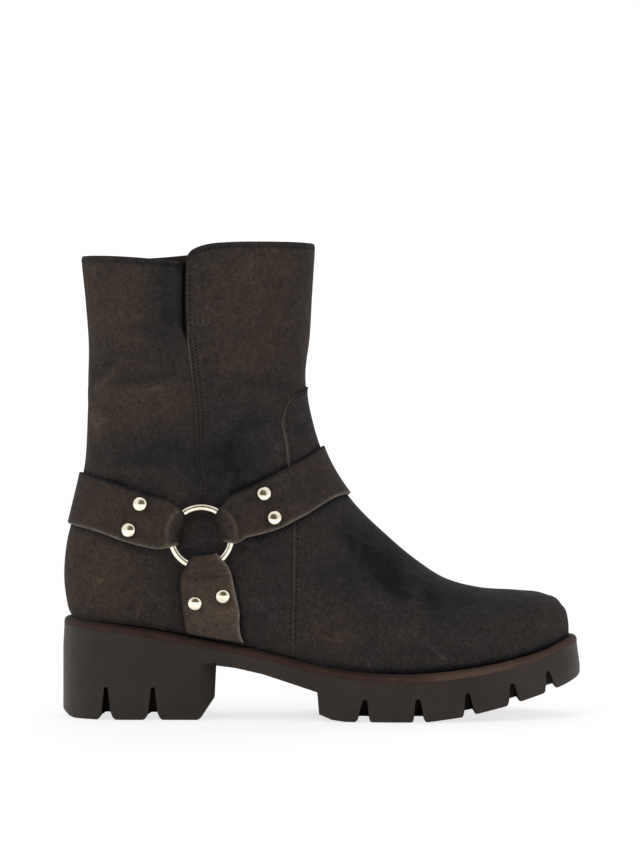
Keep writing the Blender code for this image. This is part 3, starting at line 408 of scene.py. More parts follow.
upper = {
    "wall": 0.0020,
    "step": 0.0010,                          # edge of a panel that overlaps another
    "fade": 0.0120,
    "runOut": 0.0040,
    "slitRise": 0.0013,
    "slitRiseZ": (0.1950, 0.2400),
    "slitZ": (0.1975, 0.2060),               # the panels part between these heights
    "slitDip": 0.0009,
    "slitReach": 0.0110,
    "slitDepth": 0.0020,                     # of the gap beside the rear quarter's own edge
    # lip of the rear quarter: metres behind the seam, share of the slit's depth, width left where closed
    "lipBehind": (0.0002, 0.0010, 0.0014, 0.0017, 0.0020, 0.0026, 0.0036),
    "lipDrop": (1.0, 1.0, 0.85, 0.45, 0.18, 0.05, 0.0),
    "lipLeast": 0.05,
    "lipEnd": 1.1,                           # the rear quarter's own columns start here, by the lip's width
    "liningDip": 0.8,                        # share of the slit's depth that the lining follows
    "pocketEnd": 0.0062,
    "flap": 0.0012,                          # leather of the free edge
    "quarterStepZ": (0.1120, 0.1220),        # under the ring the quarter seam lies flat
    "tuck": (0.0009, 0.0019),                # the foot of the upper draws in above the welt: depth, height
    "tuckToe": (0.6, 0.085, 0.120),          # share of that depth lost at the toe, between these X
    "roll": (0.0007, 0.0022),                # rounding of the collar edge: depth, height
    "creaseFade": 0.0120,                    # creases run out this far below the collar
    "topStitch": 0.0028,                     # below the collar
    "stitchPress": (0.00022, 0.0007),        # groove of that row: depth, spread
    "edgeAhead": (0.0060, 0.0040, 0.0022, 0.0009, 0.0004, 0.0001),
    "edgeDrop": (0.0, 0.0, 0.0, 0.00012, 0.00045),
    "seamGap": 0.0001,
    # bare line along the cut edges: width, least strength of each, heights where it is full
    "cutEdge": 0.0005,
    "bareLeast": {"vampEdge": 0.48, "frontEdge": 0.12},
    "bareVampZ": (0.165, 0.145),
    "bareQuarterZ": (0.1900, 0.0120),        # middle, spread
    # grey bands of the upper, mostly painted shade and painted highlights
    "grey": {
        "collar": (0.55, 0.0031, 0.0014),    # strength, how far down, softness
        "stitch": (0.60, 0.0006),            # painted shade in the groove of the top stitch row: strength, spread
        "rim": (0.50, 0.0007),               # painted highlight at the very edge
        "crease": 650.0,                     # painted shade in a trough and painted highlight on a ridge, partly also wear of the ridge, by metre of height
        "foot": (0.30, 0.70, 0.0034),        # painted shade above the welt: strength at the heel, more at the forefoot, height
        "footX": (-0.03, 0.03),
        "sewn": (0.30, 0.0030, 0.0014),      # paler between two stitch rows: strength, place, spread
        "sewnZ": ((0.2000, 0.1960), (0.1100, 0.1180)),
        # painted shadow in the gap of the slit: strength, spread
        "slit": (1.60, 0.0030),
        "slitStart": -0.0001,
    },
    "floorAhead": (0.0060, 0.0040, 0.0020, 0.0),
    "columns": (52, 42, 45),                 # vamp, front quarter, rear quarter
    "rows": (22, 78, 32, (21, 13), 44),      # toe, ball, heel, ankle below and above the vamp's top, collar
    "rowDeg": (12.0, 46.0, 69.5),
    "rowPowers": (1.8, 1.7, 0.8),            # crowding of the toe, heel and collar rows
    "topGap": 0.001,                         # radians between the vamp's top and the rows beside it
    # x, z of the seams, top to bottom
    "vampSeam": (
        (-0.0083, 0.1745), (-0.0167, 0.1674), (-0.0206, 0.1590), (-0.0194, 0.1450), (-0.0178, 0.1320),
        (-0.0150, 0.1100), (-0.0150, 0.0700), (-0.0150, 0.0326),
    ),
    "quarterSeam": (
        (-0.0704, 0.2440), (-0.0704, 0.2015), (-0.0688, 0.1850), (-0.0670, 0.1670), (-0.0657, 0.1410),
        (-0.0640, 0.1150), (-0.0630, 0.0800), (-0.0620, 0.0423),
    ),
    # x, z of the collar, front to back
    "collarFront": (
        (-0.0035, 0.2503), (-0.0290, 0.2500), (-0.0490, 0.2494), (-0.0590, 0.2484), (-0.0650, 0.2466),
        (-0.0690, 0.2440), (-0.0704, 0.2416),
    ),
    "collarRear": ((-0.0704, 0.2384), (-0.0780, 0.2395), (-0.0964, 0.2415), (-0.1284, 0.2436)),
    "collarInner": (
        (-0.0035, 0.2503), (-0.0300, 0.2498), (-0.0600, 0.2478), (-0.0950, 0.2446), (-0.1284, 0.2436),
    ),
}

# Creases: side, x and z of both ends, bow at the middle, depth, half width
creases = (
    (outer, -0.1066, 0.1850, -0.1206, 0.1724, 0.0008, -0.00080, 0.0014),
    (outer, -0.1225, 0.1762, -0.1090, 0.1880, 0.0008, 0.00080, 0.0020),
    (outer, -0.1075, 0.1772, -0.0760, 0.1800, -0.0012, 0.00085, 0.0024),
    (outer, -0.1235, 0.1650, -0.1000, 0.1615, -0.0020, 0.00050, 0.0034),
    (outer, -0.1100, 0.1290, -0.0850, 0.1268, 0.0012, -0.00060, 0.0020),
    (outer, -0.1060, 0.2050, -0.0820, 0.1990, 0.0020, 0.00045, 0.0030),
    (outer, -0.1220, 0.1395, -0.0900, 0.1360, -0.0025, 0.00045, 0.0036),
    (outer, -0.0630, 0.1790, -0.0500, 0.1740, 0.0010, 0.00040, 0.0022),
    (outer, -0.0470, 0.1760, -0.0120, 0.1690, 0.0025, 0.00050, 0.0036),
    (outer, -0.0450, 0.1500, -0.0240, 0.1560, 0.0020, 0.00040, 0.0034),
    (outer, -0.0080, 0.1560, -0.0180, 0.1500, 0.0010, 0.00035, 0.0022),
    (outer, 0.0080, 0.1060, 0.0280, 0.0840, -0.0030, 0.00045, 0.0048),
    (outer, 0.0330, 0.0860, 0.0440, 0.0600, -0.0030, 0.00050, 0.0052),
    (outer, 0.0560, 0.0720, 0.0620, 0.0500, -0.0020, 0.00035, 0.0046),
    (outer, -0.1340, 0.0820, -0.1120, 0.0780, 0.0020, 0.00035, 0.0040),
    (inner, -0.1240, 0.1800, -0.0800, 0.1760, -0.0030, 0.00075, 0.0044),
    (inner, -0.1230, 0.1660, -0.0950, 0.1640, 0.0020, 0.00050, 0.0036),
    (inner, -0.1180, 0.1410, -0.0880, 0.1370, 0.0020, 0.00045, 0.0034),
    (inner, -0.0560, 0.1770, -0.0130, 0.1720, 0.0025, 0.00055, 0.0038),
    (inner, -0.0480, 0.1520, -0.0220, 0.1560, 0.0020, 0.00040, 0.0034),
    (inner, 0.0100, 0.1040, 0.0260, 0.0800, -0.0030, 0.00050, 0.0048),
    (inner, 0.0340, 0.0850, 0.0430, 0.0580, -0.0030, 0.00050, 0.0052),
    (inner, 0.0580, 0.0710, 0.0610, 0.0490, -0.0020, 0.00035, 0.0046),
)
# share of a crease's length that it runs on past its ends, and over which it eases out
creaseEase = (0.15, 0.40)
# the low ridge beside it: height by its depth, distance and spread by its half width
creaseRidge = (0.7, 1.9, 1.3)


def besideLine(x, z, x0, z0, x1, z1):
    # share of the way along a line in side view, and distance to its left
    length = math.hypot(x1 - x0, z1 - z0)
    along = ((x - x0) * (x1 - x0) + (z - z0) * (z1 - z0)) / length ** 2
    return along, ((z - z0) * (x1 - x0) - (x - x0) * (z1 - z0)) / length


def creaseLift(x, z, side):
    # each crease is a trough with a low ridge beside it: a bell across a bowed line, eased out at both ends
    lift = np.zeros_like(x)
    past, ease = creaseEase
    rise, beside, spread = creaseRidge
    for creaseSide, *ends, bow, depth, half in creases:
        if creaseSide != side:
            continue
        along, aside = besideLine(x, z, *ends)
        aside = aside - bow * 4 * along * (1 - along)
        eased = smoothStep((along + past) / ease) * smoothStep((1 + past - along) / ease)
        lift += depth * eased * (rise * bell((aside + beside * half) / (spread * half)) - bell(aside / half))
    return lift


def tableShares(table):
    # fan angles of a table of side-view places, and their shares of the way from ridge to tail
    angle, reach = polar(*np.array(table).T)
    ridge, tail = section(angle, outer)[:2]
    return angle, (reach - ridge) / (tail - ridge)


def seamCurve(table, topShare):
    # share of the way from ridge to tail at which a seam crosses each section
    angle, share = tableShares(table)
    share[-1] = 1.0
    if topShare is not None:
        share[0] = topShare
    curve = curveThrough(angle[::-1], share[::-1])

    def crossing(at):
        inside = np.clip(curve(at), 0.0, 1.0)
        return np.where(at <= angle[-1], 1.0, np.where(at >= angle[0], share[0], inside))

    return crossing


def collarCurve(table):
    # fan angle of a collar line by the share of the way from ridge to back
    angle, share = tableShares(table)
    return curveThrough(share, angle)


vampSeam = seamCurve(upper["vampSeam"], 0.0)
quarterSeam = seamCurve(upper["quarterSeam"], None)
collarLine = {name: collarCurve(upper[name]) for name in ("collarFront", "collarRear", "collarInner")}
collarAngle = float(polar(*upper["collarFront"][-1])[0])
vampTop = float(polar(*upper["vampSeam"][0])[0])


def seamHeight(angle, seam):
    ridge, tail = section(angle, outer)[:2]
    return sidePoint(angle, ridge + (tail - ridge) * seam)[1]


def stepHeight(distance, seam, angle, topEnds):
    # rise of an overlapping panel at a distance behind its edge, gone where the seam runs out at the sole
    room = np.minimum(seam, 1 - seam) if topEnds else 1 - seam
    runOut = np.clip(room * span(angle) / upper["runOut"], 0.0, 1.0)
    return upper["step"] * runOut * bell(distance / upper["fade"])


def panelLift(panel, angle, share, side):
    # height of a panel's face over the skin from its overlap and the slit, before creases
    length = span(angle)
    if panel == "vamp":
        seam = vampSeam(angle)
        return stepHeight((seam - share) * length, seam, angle, False) * (angle < vampTop)
    seam = quarterSeam(angle)
    height = seamHeight(angle, seam)
    ahead = (seam - share) * length
    if panel == "rear":
        parted = between(height, *upper["slitZ"]) * (side == outer)
        return -upper["slitDip"] * parted * bell(ahead / upper["slitReach"])
    flat = between(height, *upper["quarterStepZ"])
    opening = upper["slitRise"] * between(height, *upper["slitRiseZ"]) * (side == outer)
    return stepHeight(ahead, seam, angle, True) * flat + opening * bell(ahead / upper["fade"])


def collarTop(panel, share, side):
    if side == inner:
        return collarLine["collarInner"](share)
    return collarLine["collarRear" if panel == "rear" else "collarFront"](share)


def finishedFace(angle, turn, side, lift, collar):
    # skin raised by a lift, with creases, the tuck above the welt and the rolled collar
    face = skin(angle, turn, side)
    x, z = face[..., 0], face[..., 2]
    tuckDepth, tuckHeight = upper["tuck"]
    toeShare, *toeX = upper["tuckToe"]
    rollDepth, rollHeight = upper["roll"]
    pressDepth, pressSpread = upper["stitchPress"]
    below = np.maximum(collar - angle, 0.0) * polar(x, z)[1]
    total = lift + creaseLift(x, z, side) * smoothStep(below / upper["creaseFade"])
    total = total - tuckDepth * (1 - toeShare * between(x, *toeX)) * bell((z - featherZ(x)) / tuckHeight)
    total = total - rollDepth * np.clip(1 - below / rollHeight, 0.0, 1.0) ** 2
    total = total - pressDepth * bell((below - upper["topStitch"]) / pressSpread)
    return face + skinNormal(angle, turn, side) * total[..., None]


def upperRows():
    # fan angle of every row, and how far the collar rows have climbed to the collar
    toe, ball, heel, ankle, collar = upper["rows"]
    toeEnd, ballEnd, base = np.radians(upper["rowDeg"])
    toePower, heelPower, collarPower = upper["rowPowers"]
    angle = np.concatenate([
        toeAngle + (toeEnd - toeAngle) * np.linspace(0, 1, toe + 1) ** toePower,
        np.linspace(toeEnd, ballEnd, ball + 1)[1:],
        heelAngle - (heelAngle - ballEnd) * (1 - np.linspace(0, 1, heel + 1)[1:]) ** heelPower,
        np.linspace(heelAngle, vampTop - upper["topGap"], ankle[0] + 1)[1:],
        np.linspace(vampTop + upper["topGap"], base, ankle[1]),
        np.full(collar, base),
    ])
    climb = np.concatenate([np.zeros(len(angle) - collar), np.linspace(0, 1, collar + 1)[1:] ** collarPower])
    return angle, climb, toe + ball + heel


def greyAt(face, below, behind, parted, side):
    # darker along the collar and paler between stitch rows, with painted shade in the top stitch groove, in
    # crease troughs, above the welt and in the slit, and painted highlights at the collar's rim and on crease
    # ridges: bells and steps
    x, z = face[..., 0], face[..., 2]
    grey = upper["grey"]
    strength, depth, soft = grey["collar"]
    shade = strength * smoothStep((depth - below) / soft)
    # painted shade in the groove of the top stitch row
    strength, spread = grey["stitch"]
    shade = shade + strength * bell((below - upper["topStitch"]) / spread)
    # painted highlight at the collar's very edge, then painted shade in crease troughs and painted highlight
    # on their ridges, partly also wear
    strength, spread = grey["rim"]
    shade = shade - strength * bell(below / spread) - grey["crease"] * creaseLift(x, z, side)
    # painted shade above the welt, in the crevice of the tuck
    heel, more, height = grey["foot"]
    shade = shade + (heel + more * between(x, *grey["footX"])) * bell((z - featherZ(x)) / height)
    strength, place, spread = grey["sewn"]
    sewn = np.prod([between(z, *ends) for ends in grey["sewnZ"]], axis=0) * (side == outer)
    shade = shade - strength * sewn * bell((behind + place) / spread)
    # painted shadow in the gap of the slit
    strength, spread = grey["slit"]
    return shade + strength * parted * bell(behind / spread) * (behind > grey["slitStart"])


def upperHalf(side):
    # columns from ridge to tail: panels between seams, close rows at cut edges, the pocket behind the slit
    base, climb, _ = upperRows()
    nominal = base + (collarAngle - base) * climb
    length = span(nominal)[:, None]
    nominal, base, climb = nominal[:, None], base[:, None], climb[:, None]
    names = ("edgeAhead", "edgeDrop", "floorAhead", "lipBehind", "lipDrop")
    ahead, edgeDrop, floorAhead, lipBehind, lipDrop = [np.array(upper[name])[None, :] for name in names]
    vampCount, frontCount, rearCount = upper["columns"]
    front, rear = vampSeam(nominal), quarterSeam(nominal)
    parted = between(seamHeight(nominal, rear), *upper["slitZ"]) * (side == outer)
    lipWidth = np.maximum(parted, upper["lipLeast"])

    def panelShares(start, end, count):
        first, final = shareToTurn(nominal, start), shareToTurn(nominal, np.maximum(start, end))
        return turnToShare(nominal, first + (final - first) * np.linspace(0, 1, count)[None, :])

    rearStart = rear + lipBehind[:, -1:] * upper["lipEnd"] * lipWidth / length
    blocks = (
        ("vamp", panelShares(0 * front, front - ahead[:, :1] / length, vampCount)),
        ("vampEdge", front - ahead[:, 1:] / length),
        ("front", panelShares(front + upper["seamGap"] / length, rear - ahead[:, :1] / length, frontCount)),
        ("frontEdge", rear - ahead[:, 1:] / length),
        ("under", rear - ahead[:, ::-1] * parted / length),
        ("floor", rear - floorAhead * parted / length),
        ("lip", rear + lipBehind * lipWidth / length),
        ("rear", panelShares(rearStart, 1 + 0 * rear, rearCount)),
    )
    layers = {"vampEdge": "vamp", "frontEdge": "front", "under": "front", "floor": "rear", "lip": "rear"}
    columns = []
    reached = 0 * front
    for panel, share in blocks:
        layer, pocketed = layers.get(panel, panel), panel in ("under", "floor")
        share = np.clip(share, 0.0, 1.0)
        if not pocketed:
            share = np.maximum.accumulate(np.maximum(share, reached), axis=1)
            reached = share[:, -1:]
        lift = panelLift(layer, nominal, share, side)
        edge = np.zeros_like(share)
        if panel in upper["bareLeast"]:
            seam, least = front if layer == "vamp" else rear, upper["bareLeast"][panel]
            full = np.clip(panelLift(layer, nominal, seam, side) / upper["step"], 0.0, 1.0)
            lift = lift - edgeDrop * full
            height = seamHeight(nominal, seam)
            middle, spread = upper["bareQuarterZ"]
            bare = bell((height - middle) / spread)
            if layer == "vamp":
                bare = between(height, *upper["bareVampZ"])
            edge = bell(ahead[:, 1:] / upper["cutEdge"]) * full * (least * (1 - bare) + bare) + 0 * share
        if panel == "under":
            lift = (lift - upper["flap"]) * parted
        if panel in ("floor", "lip"):
            lift = lift - upper["slitDepth"] * parted * (lipDrop if panel == "lip" else 1.0)
        pocket = panelLift("rear", nominal, np.maximum(share, reached) if pocketed else share, side)
        deep = upper["slitDepth"] * parted * bell((rear - share) * length / upper["slitReach"])
        lining = pocket - upper["wall"] - deep * upper["liningDip"]
        columns.append((share, lift, collarTop(layer, share, side), edge, lining))
    share, lift, top, edge, lining = [np.concatenate(part, axis=1) for part in zip(*columns)]
    angle = base + (top - base) * climb
    face = finishedFace(angle, shareToTurn(nominal, share), side, lift, top)
    # the lining runs past the pocket, so its columns never turn back
    inside = np.maximum.accumulate(share, axis=1)
    insideTop = np.minimum(top, collarTop("rear", inside, side)) if side == outer else top
    insideTop = np.where(inside < rear - upper["pocketEnd"] / length, top, insideTop)
    insideAngle, insideTurn = base + (insideTop - base) * climb, shareToTurn(nominal, inside)
    shell = skin(insideAngle, insideTurn, side)
    shell = shell + skinNormal(insideAngle, insideTurn, side) * lining[..., None]
    shell[..., 2] = np.maximum(shell[..., 2], featherZ(shell[..., 0]))
    below = np.maximum(top - angle, 0.0) * polar(face[..., 0], face[..., 2])[1]
    return face, shell, edge, greyAt(face, below, (share - rear) * length, parted, side)


# Colour patches in side view: x, z, spread along, spread up, and how brown (or, below 0, how grey)
patches = (
    # the grey patch at x -0.0800, z 0.2180 beside the slit is partly the leather's own grey, partly painted
    # shadow of the slit
    (-0.1105, 0.2190, 0.018, 0.024, 0.55), (-0.0800, 0.2180, 0.008, 0.024, -0.95),
    (-0.1000, 0.1650, 0.026, 0.012, 0.50), (-0.0880, 0.1370, 0.026, 0.012, -0.65),
    (-0.0480, 0.1350, 0.020, 0.024, -0.85), (-0.0380, 0.2240, 0.030, 0.022, 0.35),
    (-0.0430, 0.1900, 0.022, 0.012, 0.30), (-0.0360, 0.1560, 0.020, 0.018, -0.35),
    (-0.0110, 0.1560, 0.008, 0.020, -0.50), (-0.1160, 0.0780, 0.024, 0.022, 0.50),
    (-0.0630, 0.0940, 0.016, 0.014, -0.35), (-0.0300, 0.0680, 0.013, 0.032, -0.40),
    (0.0250, 0.0840, 0.028, 0.024, -1.05), (0.0040, 0.0520, 0.016, 0.018, 0.20),
    (0.0700, 0.0640, 0.032, 0.022, -0.70), (0.1080, 0.0630, 0.028, 0.014, -0.50),
    (0.0980, 0.0500, 0.022, 0.008, 0.20), (0.0420, 0.0360, 0.050, 0.005, -0.30),
    (-0.0060, 0.1220, 0.018, 0.012, -0.80), (-0.1200, 0.1560, 0.007, 0.018, 0.60),
)


def toneAt(points):
    x, z = points[..., 0], points[..., 2]
    tone = np.zeros_like(x)
    for x0, z0, wide, high, amount in patches:
        tone += amount * bell((x - x0) / wide) * bell((z - z0) / high)
    return tone


def makeUpper():
    corner = upperRows()[2]
    halves = [upperHalf(side) for side in (outer, inner)]
    # inner half after the outer, which runs the other way, with one ridge column for both
    face, shell, edge, shade = [np.concatenate([a[:, ::-1], b[:, 1:]], axis=1) for a, b in zip(*halves)]
    face[0] = (last["ridge"][0][0], swing(last["ridge"][0][0]), last["ridge"][0][1])
    shell[0] = face[0] - np.array([upper["wall"], 0.0, 0.0])
    shell = shell[::2]
    rows, columns = face.shape[:2]
    liningRows = shell.shape[0]
    start = rows * columns
    outside = gridFaces(rows, columns)
    within = gridFaces(liningRows, columns)[:, ::-1] + start
    # foot edge: two fine steps of the face to one of the lining
    low = np.arange(corner // 2)
    foot = []
    for j in (0, columns - 1):
        fine = [(2 * low + k) * columns + j for k in range(3)]
        coarse = [start + (low + k) * columns + j for k in (1, 0)]
        foot.append(np.stack(fine + coarse, axis=-1))
    # collar edge, with the free edge of the front quarter closed by itself
    half = columns // 2
    vampCount, frontCount, _ = upper["columns"]
    edgeCount = len(upper["edgeAhead"])
    edgeStart = vampCount + edgeCount - 1 + frontCount - 1
    flapTop = half - np.arange(edgeStart, edgeStart + edgeCount)
    flapUnder = half - np.arange(edgeStart + 2 * edgeCount - 1, edgeStart + edgeCount - 1, -1)
    top = (rows - 1) * columns
    flap = np.stack([flapTop[:-1], flapTop[1:], flapUnder[1:], flapUnder[:-1]], axis=-1) + top
    around = np.arange(columns)
    around = around[(around > flapTop[0]) | (around < flapUnder[0])]
    around = np.sort(np.concatenate([around, flapTop[:1], flapUnder[:1]]))
    liningTop = start + (liningRows - 1) * columns
    rim = [top + around[:-1], top + around[1:], liningTop + around[1:], liningTop + around[:-1]]
    faces = [outside, within, *foot, flap, np.stack(rim, axis=-1)]
    finishIndex = np.zeros(sum(map(len, faces)), int)
    finishIndex[len(outside):len(outside) + len(within)] = 1
    points = np.concatenate([face.reshape(-1, 3), shell.reshape(-1, 3)])
    plain = 0 * points[start:, 0]
    # the tone is the colour patches, less the grey bands (mostly painted shade and highlights) and less the
    # painted shadow beside the straps
    fields = {
        "tone": toneAt(points) - np.concatenate([shade.ravel() + strapShade(points[:start]), plain]),
        "edge": np.concatenate([edge.ravel(), plain]),
    }
    finishes = [nubuck("upperNubuck", upperLook), plainFinish("liningHide", liningLook)]
    piece = makePiece("bootUpper", points, faces, finishes, fields=fields, faceFinish=finishIndex)
    settle(piece, "upper_leather", "upper")


# Straps: two layers near the ring, where each end is folded round the wire and riveted

straps = {
    "thickness": 0.0018,
    "gap": 0.0003,
    "tailClear": 0.0030,
    "tailFall": 0.0100,
    "rowStep": 0.0011,
    "wrapRows": 40,
    "tailRows": 14,
    "wrapTurn": (-38.0, 212.0),              # degrees that an end turns about the wire
    # reach of each fold inside the wire: at the strap's edges, at its middle
    "foldBend": {"rear": (0.0022, 0.0032), "front": (0.0028, 0.0042), "stirrup": (0.0030, 0.0051)},
    "bridgeRows": 10,
    "rampFall": 2.0,                         # slope of the strap behind a panel's edge, by that in front
    "tones": (0.25, (0.45, 1.45)),           # harness, stirrup
    "patchShare": 0.3,                       # of the colour patches of the leather
    "edgeLine": 0.0010,
    "edgeShadow": 1.6,                         # painted shadow along the first of the two cut edges
    "stirrupToneZ": (0.055, 0.092),          # the stirrup strap is paler below
    "edgeShade": (1.3, 0.0015),              # strength of the painted shadow on the leather beside an edge, and how far it reaches
    # painted highlight at a fold where it leaves the wire and painted shade where it bends in: strength, turn
    # in degrees, spread
    "foldHighlightAndShade": ((0.9, -38.0, 16.0), (-0.7, 50.0, 45.0)),
    "ridgeRows": (8, 2.5),                   # rows beside the fold that get the painted highlight too, and their spread
    "edgeRound": 0.0005,
    "edgeLeast": 0.60,                       # half thickness left at the very edge
    # across the strap, close at both cut edges
    "across": (0.0, 0.008, 0.018, 0.032, 0.06, 0.12, 0.20, 0.30, 0.40, 0.50, 0.60, 0.70, 0.80, 0.88, 0.94,
               0.968, 0.982, 0.992, 1.0),
    # side, then x, z on the two edges, out from the ring
    "harness": (
        (outer, -0.0823, 0.1158, -0.0888, 0.0898), (outer, -0.0953, 0.1191, -0.1018, 0.0930),
        (outer, -0.1073, 0.1233, -0.1140, 0.0974), (outer, -0.1198, 0.1268, -0.1262, 0.1002),
        (None, -0.1272, 0.1288, -0.1337, 0.1018), (inner, -0.1150, 0.1250, -0.1215, 0.0990),
        (inner, -0.1035, 0.1219, -0.1091, 0.0960), (inner, -0.0900, 0.1190, -0.0940, 0.0931),
        (inner, -0.0761, 0.1171, -0.0773, 0.0912), (inner, -0.0620, 0.1166, -0.0600, 0.0908),
        (inner, -0.0482, 0.1181, -0.0436, 0.0926), (inner, -0.0350, 0.1215, -0.0280, 0.0966),
        (inner, -0.0225, 0.1270, -0.0134, 0.1029), (inner, -0.0120, 0.1330, -0.0010, 0.1095),
        (None, -0.0016, 0.1420, 0.0138, 0.1167), (outer, -0.0078, 0.1374, 0.0045, 0.1145),
        (outer, -0.0214, 0.1301, -0.0100, 0.1058), (outer, -0.0360, 0.1228, -0.0245, 0.0989),
        (outer, -0.0469, 0.1181, -0.0385, 0.0954),
    ),
    "harnessTail": 0.0230,
    "stirrup": (
        (outer, -0.0742, 0.0725, -0.0466, 0.0738), (outer, -0.0736, 0.0645, -0.0447, 0.0650),
        (outer, -0.0722, 0.0550, -0.0429, 0.0550), (outer, -0.0706, 0.0462, -0.0407, 0.0409),
    ),
    "stirrupTail": 0.0190,
    # part of the ring that each end wraps, degrees from +X towards +Z
    "wraps": {"rear": (126.0, 198.0), "front": (58.0, -11.0), "stirrup": (242.0, 313.0)},
    # pressed lines on the straps: x, z of both ends, depth, half width
    "presses": (
        (-0.0872, 0.1140, -0.0907, 0.1062, 0.00045, 0.0008),
        (-0.0670, 0.0676, -0.0566, 0.0697, 0.00045, 0.0008),
        (-0.0697, 0.0567, -0.0677, 0.0473, 0.00035, 0.0007),
        (-0.0850, 0.1050, -0.0860, 0.0960, 0.00035, 0.0022),
        (-0.0440, 0.1120, -0.0420, 0.1020, 0.00035, 0.0022),
    ),
    "pressEase": 0.2,                        # share of a line's length over which it runs out
}
ringSize = {
    "centre": (-0.0628, 0.0957),             # x, z on the leather
    "radius": 0.0155,
    "wire": 0.0039,
    "lift": 0.0046,
    "sides": (192, 28),
}
across = np.array(straps["across"])


def strapLift(angle, turn):
    # height of the panel steps under a strap, with a gentle ramp beside each edge
    share, length = turnToShare(angle, turn), span(angle)
    rear = quarterSeam(angle)
    rearFade = between(seamHeight(angle, rear), *upper["quarterStepZ"])
    lift = np.zeros_like(share)
    for seam, fade in ((vampSeam(angle), 1.0), (rear, rearFade)):
        distance = (seam - share) * length
        ahead = np.maximum(distance - upper["runOut"], 0.0)
        softened = np.where(distance < 0, distance * straps["rampFall"], ahead)
        lift = np.maximum(lift, fade * stepHeight(softened, seam, angle, True))
    return lift


def onSkin(angle, running, height):
    # running turn: 0 to 1 down the outer side, 1 to 2 up the inner side, from 2 down the outer side again
    medial = (running > 1) & (running < 2)
    turn = np.where(medial, 2 - running, np.where(running >= 2, running - 2, running))
    place = np.where(medial[..., None], skin(angle, turn, inner), skin(angle, turn, outer))
    normal = np.where(medial[..., None], skinNormal(angle, turn, inner), skinNormal(angle, turn, outer))
    return place + normal * (strapLift(angle, turn) + height)[..., None]


def strapEdges(table):
    # smooth edge lines over the skin, by distance along the strap's middle; once a strap has come up the
    # inner side, its outer places are a lap further on
    edges = ([], [])
    before = 0.5
    for side, *places in table:
        for edge, (x, z) in zip(edges, (places[:2], places[2:])):
            angle, turn = [float(value) for value in locate(x, z)]
            lap = 2.0 if before >= 1.5 else 0.0
            running = {None: max(lap, 1.0), inner: 2.0 - turn, outer: turn + lap}
            edge.append((angle, running[side]))
        before = edges[0][-1][1]
    first, second = np.array(edges)
    gone = distanceAlong(onSkin(*((first + second) / 2).T, np.zeros(len(first))))
    return gone[-1], [curveThrough(gone, edge[:, k]) for edge in (first, second) for k in (0, 1)]


def strapGrid(lines, distance, height):
    # rows across the strap, straight between its two edge lines in angle and turn
    firstAngle, firstTurn, secondAngle, secondTurn = [line(distance[:, None]) for line in lines]
    angle = firstAngle + (secondAngle - firstAngle) * across[None, :]
    running = firstTurn + (secondTurn - firstTurn) * across[None, :]
    return onSkin(angle, running, height[:, None] + 0 * angle)


def ringFrame():
    # middle of the ring, then its directions towards the toe, up the leather and outwards
    angle, turn = locate(*ringSize["centre"])
    normal = skinNormal(angle, turn, outer)
    middle = skin(angle, turn, outer) + normal * ringSize["lift"]
    forward = np.cross(normal, (0.0, 0.0, 1.0))
    forward = forward * np.sign(forward[0]) / np.linalg.norm(forward)
    upward = np.cross(normal, forward)
    return middle, forward, upward * np.sign(upward[2]), normal


def wrapGrid(word):
    # strap end round the wire: a turn about the wire for each place along the ring
    middle, forward, upward, normal = ringFrame()
    bend = ringSize["wire"] / 2 + straps["gap"] + straps["thickness"] / 2
    first, second = straps["wraps"][word]
    around = np.radians(first + (second - first) * across)[None, :, None]
    about = np.radians(np.linspace(*straps["wrapTurn"], straps["wrapRows"]))[:, None, None]
    outward = forward * np.cos(around) + upward * np.sin(around)
    # slack at the strap's middle and tight at its edges, so the fold is nearly straight
    edgeBend, middleBend = straps["foldBend"][word]
    reach = edgeBend + (middleBend - edgeBend) * (1 - (2 * across[None, :, None] - 1) ** 2)
    return middle + outward * (ringSize["radius"] - reach * np.sin(about)) + normal * bend * np.cos(about)


def foldedEnd(word, lines, start, into, tail):
    # wrap round the ring, then the tail that lies under the strap
    distance = start + into * np.linspace(0.0, tail, straps["tailRows"])
    under = np.full(len(distance), straps["gap"] + straps["thickness"] / 2)
    return blendRows(wrapGrid(word), strapGrid(lines, distance, under))


def blendRows(first, second):
    # smooth bridge between two runs of rows: a cubic with the end directions of both
    start, end = first[-1], second[0]
    reach = np.linalg.norm(end - start, axis=-1, keepdims=True)
    startWay, endWay = unit(start - first[-2]) * reach, unit(second[1] - end) * reach
    t = np.linspace(0, 1, straps["bridgeRows"] + 2)[1:-1][:, None, None]
    bridge = (start * (2 * t ** 3 - 3 * t ** 2 + 1) + startWay * (t ** 3 - 2 * t ** 2 + t)
              + end * (3 * t ** 2 - 2 * t ** 3) + endWay * (t ** 3 - t ** 2))
    return np.concatenate([first, bridge, second])


def strapHeight(distance, tail):
    # middle of the strap over the leather: on its own tail near the ring, then eased down
    single = straps["gap"] + straps["thickness"] / 2
    double = single + straps["gap"] + straps["thickness"]
    fallen = smoothStep((distance - tail - straps["tailClear"]) / straps["tailFall"])
    return double + (single - double) * fallen


def pressLift(points):
    # shallow lines pressed into the strap: a bell across a straight line, eased out at its ends
    x, z = points[..., 0], points[..., 2]
    lift = np.zeros_like(x)
    ease = straps["pressEase"]
    for *ends, depth, half in straps["presses"]:
        along, aside = besideLine(x, z, *ends)
        lift -= depth * bell(aside / half) * smoothStep(along / ease) * smoothStep((1 - along) / ease)
    return lift * (points[..., 1] < 0)


def foldHighlightAndShade(end):
    # painted highlight and shade of each row of a folded end, which starts with its wrap
    about = np.linspace(*straps["wrapTurn"], straps["wrapRows"])
    tone = np.zeros(len(end))
    for amount, turn, spread in straps["foldHighlightAndShade"]:
        tone[:len(about)] += amount * bell((about - turn) / spread)
    return tone


